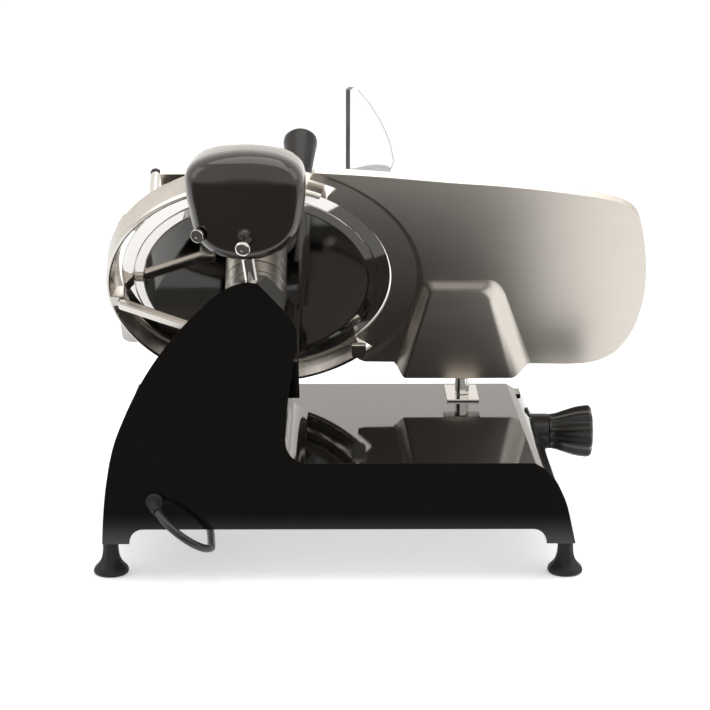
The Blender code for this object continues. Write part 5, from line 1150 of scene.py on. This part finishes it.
def makeSharpener():
    s = coverSetting
    inner = [coverRing(share, depth) for share, depth in curveThrough(s["inside"], 2)]
    outer = [coverRing(share, depth) for share, depth in curveThrough(s["outside"], 4)]
    rim = [coverRing(share, None) for share in (0.925, 0.930, 0.980, 0.985)]
    cover = skinPiece("domeShell", inner + rim + outer[::-1])
    for spindle in spindleSetting.values():
        axis = alongLine(spindle["along"], spindle["head"])
        carve(cover, rodPiece("hole", stemRadius + 0.0002, -0.01, 0.075, axis))
    # The deburring spindle's head sinks into the cover
    carve(cover, rodPiece("sink", 0.0062, -0.01, 0.0145, axis))
    carve(cover, rodPiece("hole", 0.0060, 0.020, 0.052, postLine))
    finishPiece(cover, domeLacquerPaintedSheen, toRow, "sharpener_cover", 35.0)
    radius, tall = s["post"]
    post = bluntRod("postTurned", radius, 0.0, tall, 64)
    layPiece(post, postLine)
    gap = s["back"]
    low, high, half = s["bracket"]
    bar = [(0.027, low), (depthAtHeight(low, gap), low), (depthAtHeight(high, gap), high), (0.027, high)]
    bracket = skinPiece("bracket", [[(x, y, z) for y, z in bar] for x in (postX - half, postX + half)])
    roundEdges(bracket, 0.0008, 2)
    joinShape(post, bracket)
    finishPiece(post, chrome, toRow, "sharpener_post", 35.0)
    for name, spindle in spindleSetting.items():
        axis = alongLine(spindle["along"], spindle["head"])
        reach = spindle["reach"]
        end = reach - 0.0083
        button = turnedPiece(name + "Turned", spindle["profile"] + [(stemRadius, end), (0.0, end)], 72)
        carve(button, rodPiece("dimple", 0.0020, -0.001, 0.0008, Matrix(), 32))
        finishPiece(button, chrome, toRow @ axis, name + "_button", 30.0)
        stone = bluntRod(name + "Wheel", 0.009, reach - 0.008, reach, 64)
        finishPiece(stone, greyAbrasive, toRow @ axis, name + "_stone", 30.0)


makeSharpener()
dressNode("sharpener_base", satinCast, 0.0004)
print("sharpener made")


# Carriage: tray, arm, rods, roller, handle and press

traySetting = {"rod": (-0.1110, -0.0845, 0), "rodEnd": 0.2150, "wall": 0.0835,
               "handle": (-0.1160, -0.2420), "press": (0.0410, 0.0640, 0)}
gripSetting = {"cap": [(0.0, -0.2210), (0.0026, -0.2208), (0.0042, -0.2203), (0.0051, -0.2193),
                       (0.0054, -0.2180), (0.0054, -0.2158), (0.0050, -0.2153), (0.0, -0.2153)],
               "tray": [(0.0, 0.0), (0.0092, 0.0), (0.0095, 0.0006), (0.0100, 0.0060), (0.0116, 0.0130),
                        (0.0132, 0.0200), (0.0139, 0.0270), (0.0138, 0.0340), (0.0131, 0.0390),
                        (0.0118, 0.0428), (0.0096, 0.0454), (0.0060, 0.0471), (0.0, 0.0480)],
               "press": [(0.0, -0.0233), (0.0100, -0.0233), (0.0104, -0.0238), (0.0101, -0.0330),
                         (0.0098, -0.0450), (0.0102, -0.0580), (0.0108, -0.0700), (0.0122, -0.0850),
                         (0.0140, -0.0980), (0.0155, -0.1080), (0.0160, -0.1125), (0.0155, -0.1160),
                         (0.0136, -0.1183), (0.0105, -0.1197), (0.0, -0.1205)]}


def makeRod(node, name, radius, low, high, place):
    piece = bluntRod(name, radius, low, high, 72)
    finishPiece(piece, chrome, place, node, 30.0)


def makeCarriage():
    s = traySetting
    makeRod("carriage_guide_bar", "barTurned", 0.0070, -0.1150, 0.2560, toRow @ barLine)
    makeRod("gauge_guide_rod", "guideTurned", 0.0060, 0.1945, 0.2612, toRow @ guideLine)
    atRod = bladePlane @ Matrix.Translation(s["rod"])
    makeRod("press_rod", "pressRodTurned", 0.0050, -s["rodEnd"], -0.0193, atRod)
    up, deep = s["handle"]
    atHandle = (bladePlane @ Matrix.Translation((s["wall"] + 0.0003, up, deep))
                @ Matrix.Rotation(math.pi / 2, 4, 'Y'))
    atPress = bladePlane @ Matrix.Translation(s["press"])
    for node, name, grip, sides, place in (("press_rod_cap", "capTurned", "cap", 64, atRod),
                                           ("carriage_handle", "trayHandle", "tray", 96, atHandle),
                                           ("press_handle", "pressGrip", "press", 96, atPress)):
        piece = turnedPiece(name, gripSetting[grip], sides)
        finishPiece(piece, mouldedBlack, place, node, 40.0)
    for name, material, width in (("carriage_tray", trayMetal, 0.0010), ("carriage_arm", satinCast, 0.0010),
                                  ("press_plate", satinCast, 0.0), ("press_arm", satinCast, 0.0006),
                                  ("press_slider", mouldedBlack, 0.0005),
                                  ("carriage_slide_block", plainSteel, 0.0004),
                                  ("carriage_roller", plainSteel, 0.0004)):
        dressNode(name, material, width)


guardSetting = {"turn": 19.0, "thick": 0.0042, "foot": -0.108,
                "low": [(0.0, -0.0950), (0.1450, -0.0950)],
                "rim": [(0.1450, -0.0950), (0.1270, -0.0475), (0.0982, 0.0061), (0.0800, 0.0350),
                        (0.0619, 0.0638), (0.0419, 0.0925), (0.0330, 0.1050), (0.0258, 0.1155),
                        (0.0180, 0.1245), (0.0110, 0.1310), (0.0060, 0.1350), (0.0, 0.1378)]}


def makeGuard():
    s = guardSetting
    turn = math.radians(s["turn"])
    outline = s["low"] + curveThrough(s["rim"], 4)[1:]
    direction = Vector((math.sin(turn), 0, -math.cos(turn)))
    side = Vector((math.cos(turn), 0, math.sin(turn))) * s["thick"]
    origin = Vector((traySetting["wall"] + 0.0003, 0, s["foot"]))
    rings = [[tuple(origin + direction * out + Vector((0, up, 0)) + side * k) for out, up in outline]
             for k in (0, 1)]
    guard = skinPiece("clearGuard", rings)
    roundEdges(guard, 0.0005, 2, 50.0)
    # The sawn edge of the sheet is frosted, and its dark blue-grey colour is painted shade for the dark edge
    # of the clear sheet
    across = side.normalized()
    sawn = [face.index for face in guard.data.polygons if abs(face.normal.dot(across)) < 0.3]
    finishPiece(guard, clearAcrylic, bladePlane, "hand_guard", 40.0)
    guard.data.materials.append(frostedEdgePaintedShade)
    for index in sawn:
        guard.data.polygons[index].material_index = 1


makeCarriage()
makeGuard()
print("carriage made")


# Switch, gland and plug

def makeSwitch():
    s = switchSetting
    place = toRow @ switchPlace
    high, wide = s["half"]
    plate = boxPiece("switchPlate", (-high, -wide, 0.0), (high, wide, 0.0018))
    roundEdges(plate, 0.0006)
    high, wide = high - s["lip"], wide - s["lip"]
    joinShape(plate, boxPiece("body", (-high, -wide, -0.0170), (high, wide, 0.0010)))
    radius = s["button"]
    for name, y, material in (("off_button", -s["apart"], redPlastic),
                              ("on_button", s["apart"], greenPlastic)):
        carve(plate, rodPiece("hole", radius + s["gap"], -0.012, 0.01, Matrix.Translation((0, y, 0))))
        button = turnedPiece(name + "Turned", [(0.0, -0.0095), (radius, -0.0095), (radius, 0.0014),
                                               (radius - 0.0003, 0.0020), (radius - 0.0010, 0.0024),
                                               (radius - 0.0025, 0.0025), (0.0, 0.0022)], 72)
        finishPiece(button, material, place @ Matrix.Translation((0, y, 0)), name, 40.0)
    finishPiece(plate, mouldedBlack, place, "switch_housing", 35.0)


def makeGland():
    s = leadSetting
    flip = Matrix.Translation((s["exitX"], -s["gap"], s["exitZ"])) @ Matrix.Rotation(math.pi / 2, 4, 'X')
    gland = turnedPiece("glandMoulded", [(0.0, -0.0120), (0.0050, -0.0120), (0.0050, 0.0), (0.0072, 0.0),
                                         (0.0074, 0.0003), (0.0074, 0.0019), (0.0071, 0.0025),
                                         (0.0060, 0.0033), (0.0056, 0.0034), (0.0, 0.0034)], 64)
    layPiece(gland, flip)
    # The strain relief tapers round the lead's first bend, with a groove at every third ring
    rings = []
    side = Vector((s["across"][0], 0.0, s["across"][1]))
    for k in range(19):
        angle = math.radians(s["reliefAngle"]) * k / 18
        middle = leadBend(angle)
        outward = side * math.cos(angle) + Vector((0, 1, 0)) * math.sin(angle)
        upright = side.cross(Vector((0, 1, 0)))
        width = 0.0056 - 0.0012 * k / 18 - (0.0006 if k % 3 == 1 and 0 < k < 17 else 0.0)
        rings.append([tuple(middle + outward * width * math.cos(a) + upright * width * math.sin(a))
                      for a in (2 * math.pi * n / 40 for n in range(40))])
    rings.insert(0, [(px, py + s["straight"] - 0.0020, pz) for px, py, pz in rings[0]])
    joinShape(gland, skinPiece("relief", rings))
    finishPiece(gland, softRubber, toRow, "cord_gland", 40.0)


# The strap that holds the wound lead together

tieSetting = {"angle": 225.0, "inside": (0.0208, 0.0466), "top": 0.0154, "under": 0.00004, "thin": 0.0002,
              "thick": 0.0007, "corner": 0.0034, "width": 0.0075, "flap": (0.0275, 0.0415)}


def makeTie():
    s = tieSetting
    near, far = s["inside"]

    def loop(out, low, high, corner):
        middles = [(far + out - corner, low + corner, -90), (far + out - corner, high - corner, 0),
                   (near - out + corner, high - corner, 90), (near - out + corner, low + corner, 180)]
        return [point for x, z, turn in middles
                for point in arcPoints((x, z), corner, math.radians(turn), math.radians(turn + 90), 8)]

    inner = loop(0.0, s["under"] + s["thin"], s["top"], s["corner"])
    outer = loop(s["thick"], s["under"], s["top"] + s["thick"], s["corner"] + s["thick"])
    half = s["width"] / 2
    rings = [[(a[0], -half, a[1]), (a[0], half, a[1]), (b[0], half, b[1]), (b[0], -half, b[1])]
             for a, b in zip(inner, outer)]
    tie = skinPiece("leadTie", rings, closed=True)
    low, high = s["flap"]
    top = s["top"] + s["thick"]
    joinShape(tie, boxPiece("flap", (low, -half, top - 0.0002), (high, half, top + 0.0006)))
    smoothShape(tie, 40.0)
    place = (toRow @ Matrix.Translation((*leadSetting["coilCentre"], 0))
             @ Matrix.Rotation(math.radians(s["angle"]), 4, 'Z'))
    addPiece(tie, wovenStrap, place, "cord_coil")
    return tie


makeSwitch()
makeGland()
leadTie = makeTie()
dressNode("power_plug", softRubber, 0.0006)
print("switch and gland made")


# Floor and light: a white sweep, a dim lower room on the camera's side and three soft lamps above

studio = {"floor": 0.90, "glow": 0.45, "table": (-0.30, -0.42), "sky": 0.62, "warm": (1.0, 0.955, 0.90),
          "bright": 1.0, "dark": 0.09,
          "lamps": [((0.15, -0.35, 1.9), 1.8, 17.0), ((-1.5, -0.5, 1.3), 1.2, 5.0),
                    ((1.5, -0.3, 1.3), 1.2, 5.0)]}


def makeFloor():
    deselectAll()
    bpy.ops.mesh.primitive_plane_add(size=2, location=(0, 0, 0))
    floor = bpy.context.active_object
    floor.name = "floor"
    layPiece(floor, Matrix.Translation((0, 14.46, 0)) @ Matrix.Diagonal((15, 15, 1, 1)))
    material, tree, shader, vector = startMaterial("paleFloor", {"Roughness": 0.9})
    group = useGroup(tree, handledFinish, vector, Blotch=0.6, Ripple=40.0, Low=0.88, High=0.92)
    pale = studio["floor"]
    finishMaterial(material, shader, group, "Mask", ((pale,) * 3, (pale + 0.01,) * 3), 0.0, 0.0)
    glow = studio["glow"]
    near, far = studio["table"]
    path = addNode(tree, 'ShaderNodeLightPath', (-900, 600))
    parts = addNode(tree, 'ShaderNodeSeparateXYZ', (-900, 350))
    tree.links.new(vector, parts.inputs[0])
    # What mirrors see of the floor ends a hand's width in front of the feet, as a table's edge does
    table = softStep(tree, parts.outputs["Y"], far, near, (-700, 350))
    mirrored = mathNode(tree, 'MULTIPLY', path.outputs["Is Glossy Ray"], table, (-500, 500))
    seen = mathNode(tree, 'MAXIMUM', path.outputs["Is Camera Ray"], path.outputs["Is Transmission Ray"],
                    (-500, 700))
    lit = mathNode(tree, 'MAXIMUM', seen, mirrored, (-300, 600))
    shader.inputs["Emission Color"].default_value = (1, 1, 1, 1)
    tree.links.new(mathNode(tree, 'MULTIPLY', lit, glow, (-100, 600)), shader.inputs["Emission Strength"])
    dim = addNode(tree, 'ShaderNodeEmission', (100, -200))
    dim.inputs["Color"].default_value = (*studio["warm"], 1)
    dim.inputs["Strength"].default_value = studio["dark"]
    hidden = mathNode(tree, 'SUBTRACT', path.outputs["Is Glossy Ray"], mirrored, (-100, 400))
    mixed = mixShaders(tree, hidden, shader.outputs[0], dim.outputs[0], (400, 0))
    tree.links.new(mixed, tree.nodes["Material Output"].inputs["Surface"])
    floor.data.materials.append(material)


def makeWorld():
    s = studio
    world = bpy.data.worlds.new("studio")
    bpy.context.scene.world = world
    world.use_nodes = True
    tree = world.node_tree
    tree.nodes.clear()
    leave = addNode(tree, 'ShaderNodeOutputWorld', (900, 0))
    plain = addNode(tree, 'ShaderNodeBackground', (300, 150))
    plain.inputs["Color"].default_value = (s["sky"],) * 3 + (1,)
    room = addNode(tree, 'ShaderNodeBackground', (300, 0))
    white = addNode(tree, 'ShaderNodeBackground', (300, -150))
    white.inputs["Color"].default_value = (1, 1, 1, 1)
    path = addNode(tree, 'ShaderNodeLightPath', (0, 400))
    direction = addNode(tree, 'ShaderNodeTexCoord', (-1200, 0))
    parts = addNode(tree, 'ShaderNodeSeparateXYZ', (-1000, 0))
    tree.links.new(direction.outputs["Generated"], parts.inputs[0])
    ahead = softStep(tree, parts.outputs["Y"], 0.0, -0.45, (-800, 100))
    below = softStep(tree, parts.outputs["Z"], 0.10, -0.02, (-800, -50))
    low = mathNode(tree, 'MULTIPLY', ahead, below, (-600, 50))
    level = rangeNode(tree, low, 0.0, 1.0, s["bright"], s["dark"], (-400, 50))
    tint = addNode(tree, 'ShaderNodeMix', (100, 0), data_type='RGBA')
    tree.links.new(level, tint.inputs[0])
    tint.inputs[6].default_value = (0, 0, 0, 1)
    tint.inputs[7].default_value = (*s["warm"], 1)
    tree.links.new(tint.outputs[2], room.inputs["Color"])
    first = mixShaders(tree, path.outputs["Is Glossy Ray"], plain.outputs[0], room.outputs[0], (500, 100))
    seen = mathNode(tree, 'MAXIMUM', path.outputs["Is Camera Ray"], path.outputs["Is Transmission Ray"],
                    (300, 400))
    second = mixShaders(tree, seen, first, white.outputs[0], (700, 0))
    tree.links.new(second, leave.inputs["Surface"])


def makeLamps():
    for place, size, power in studio["lamps"]:
        deselectAll()
        bpy.ops.object.light_add(type='AREA', location=place)
        lamp = bpy.context.active_object
        lamp.data.size = size
        lamp.data.energy = power
        lamp.rotation_euler = (Vector((0, 0, 0.15)) - Vector(place)).to_track_quat('-Z', 'Y').to_euler()


makeFloor()
makeWorld()
makeLamps()
print("studio made")
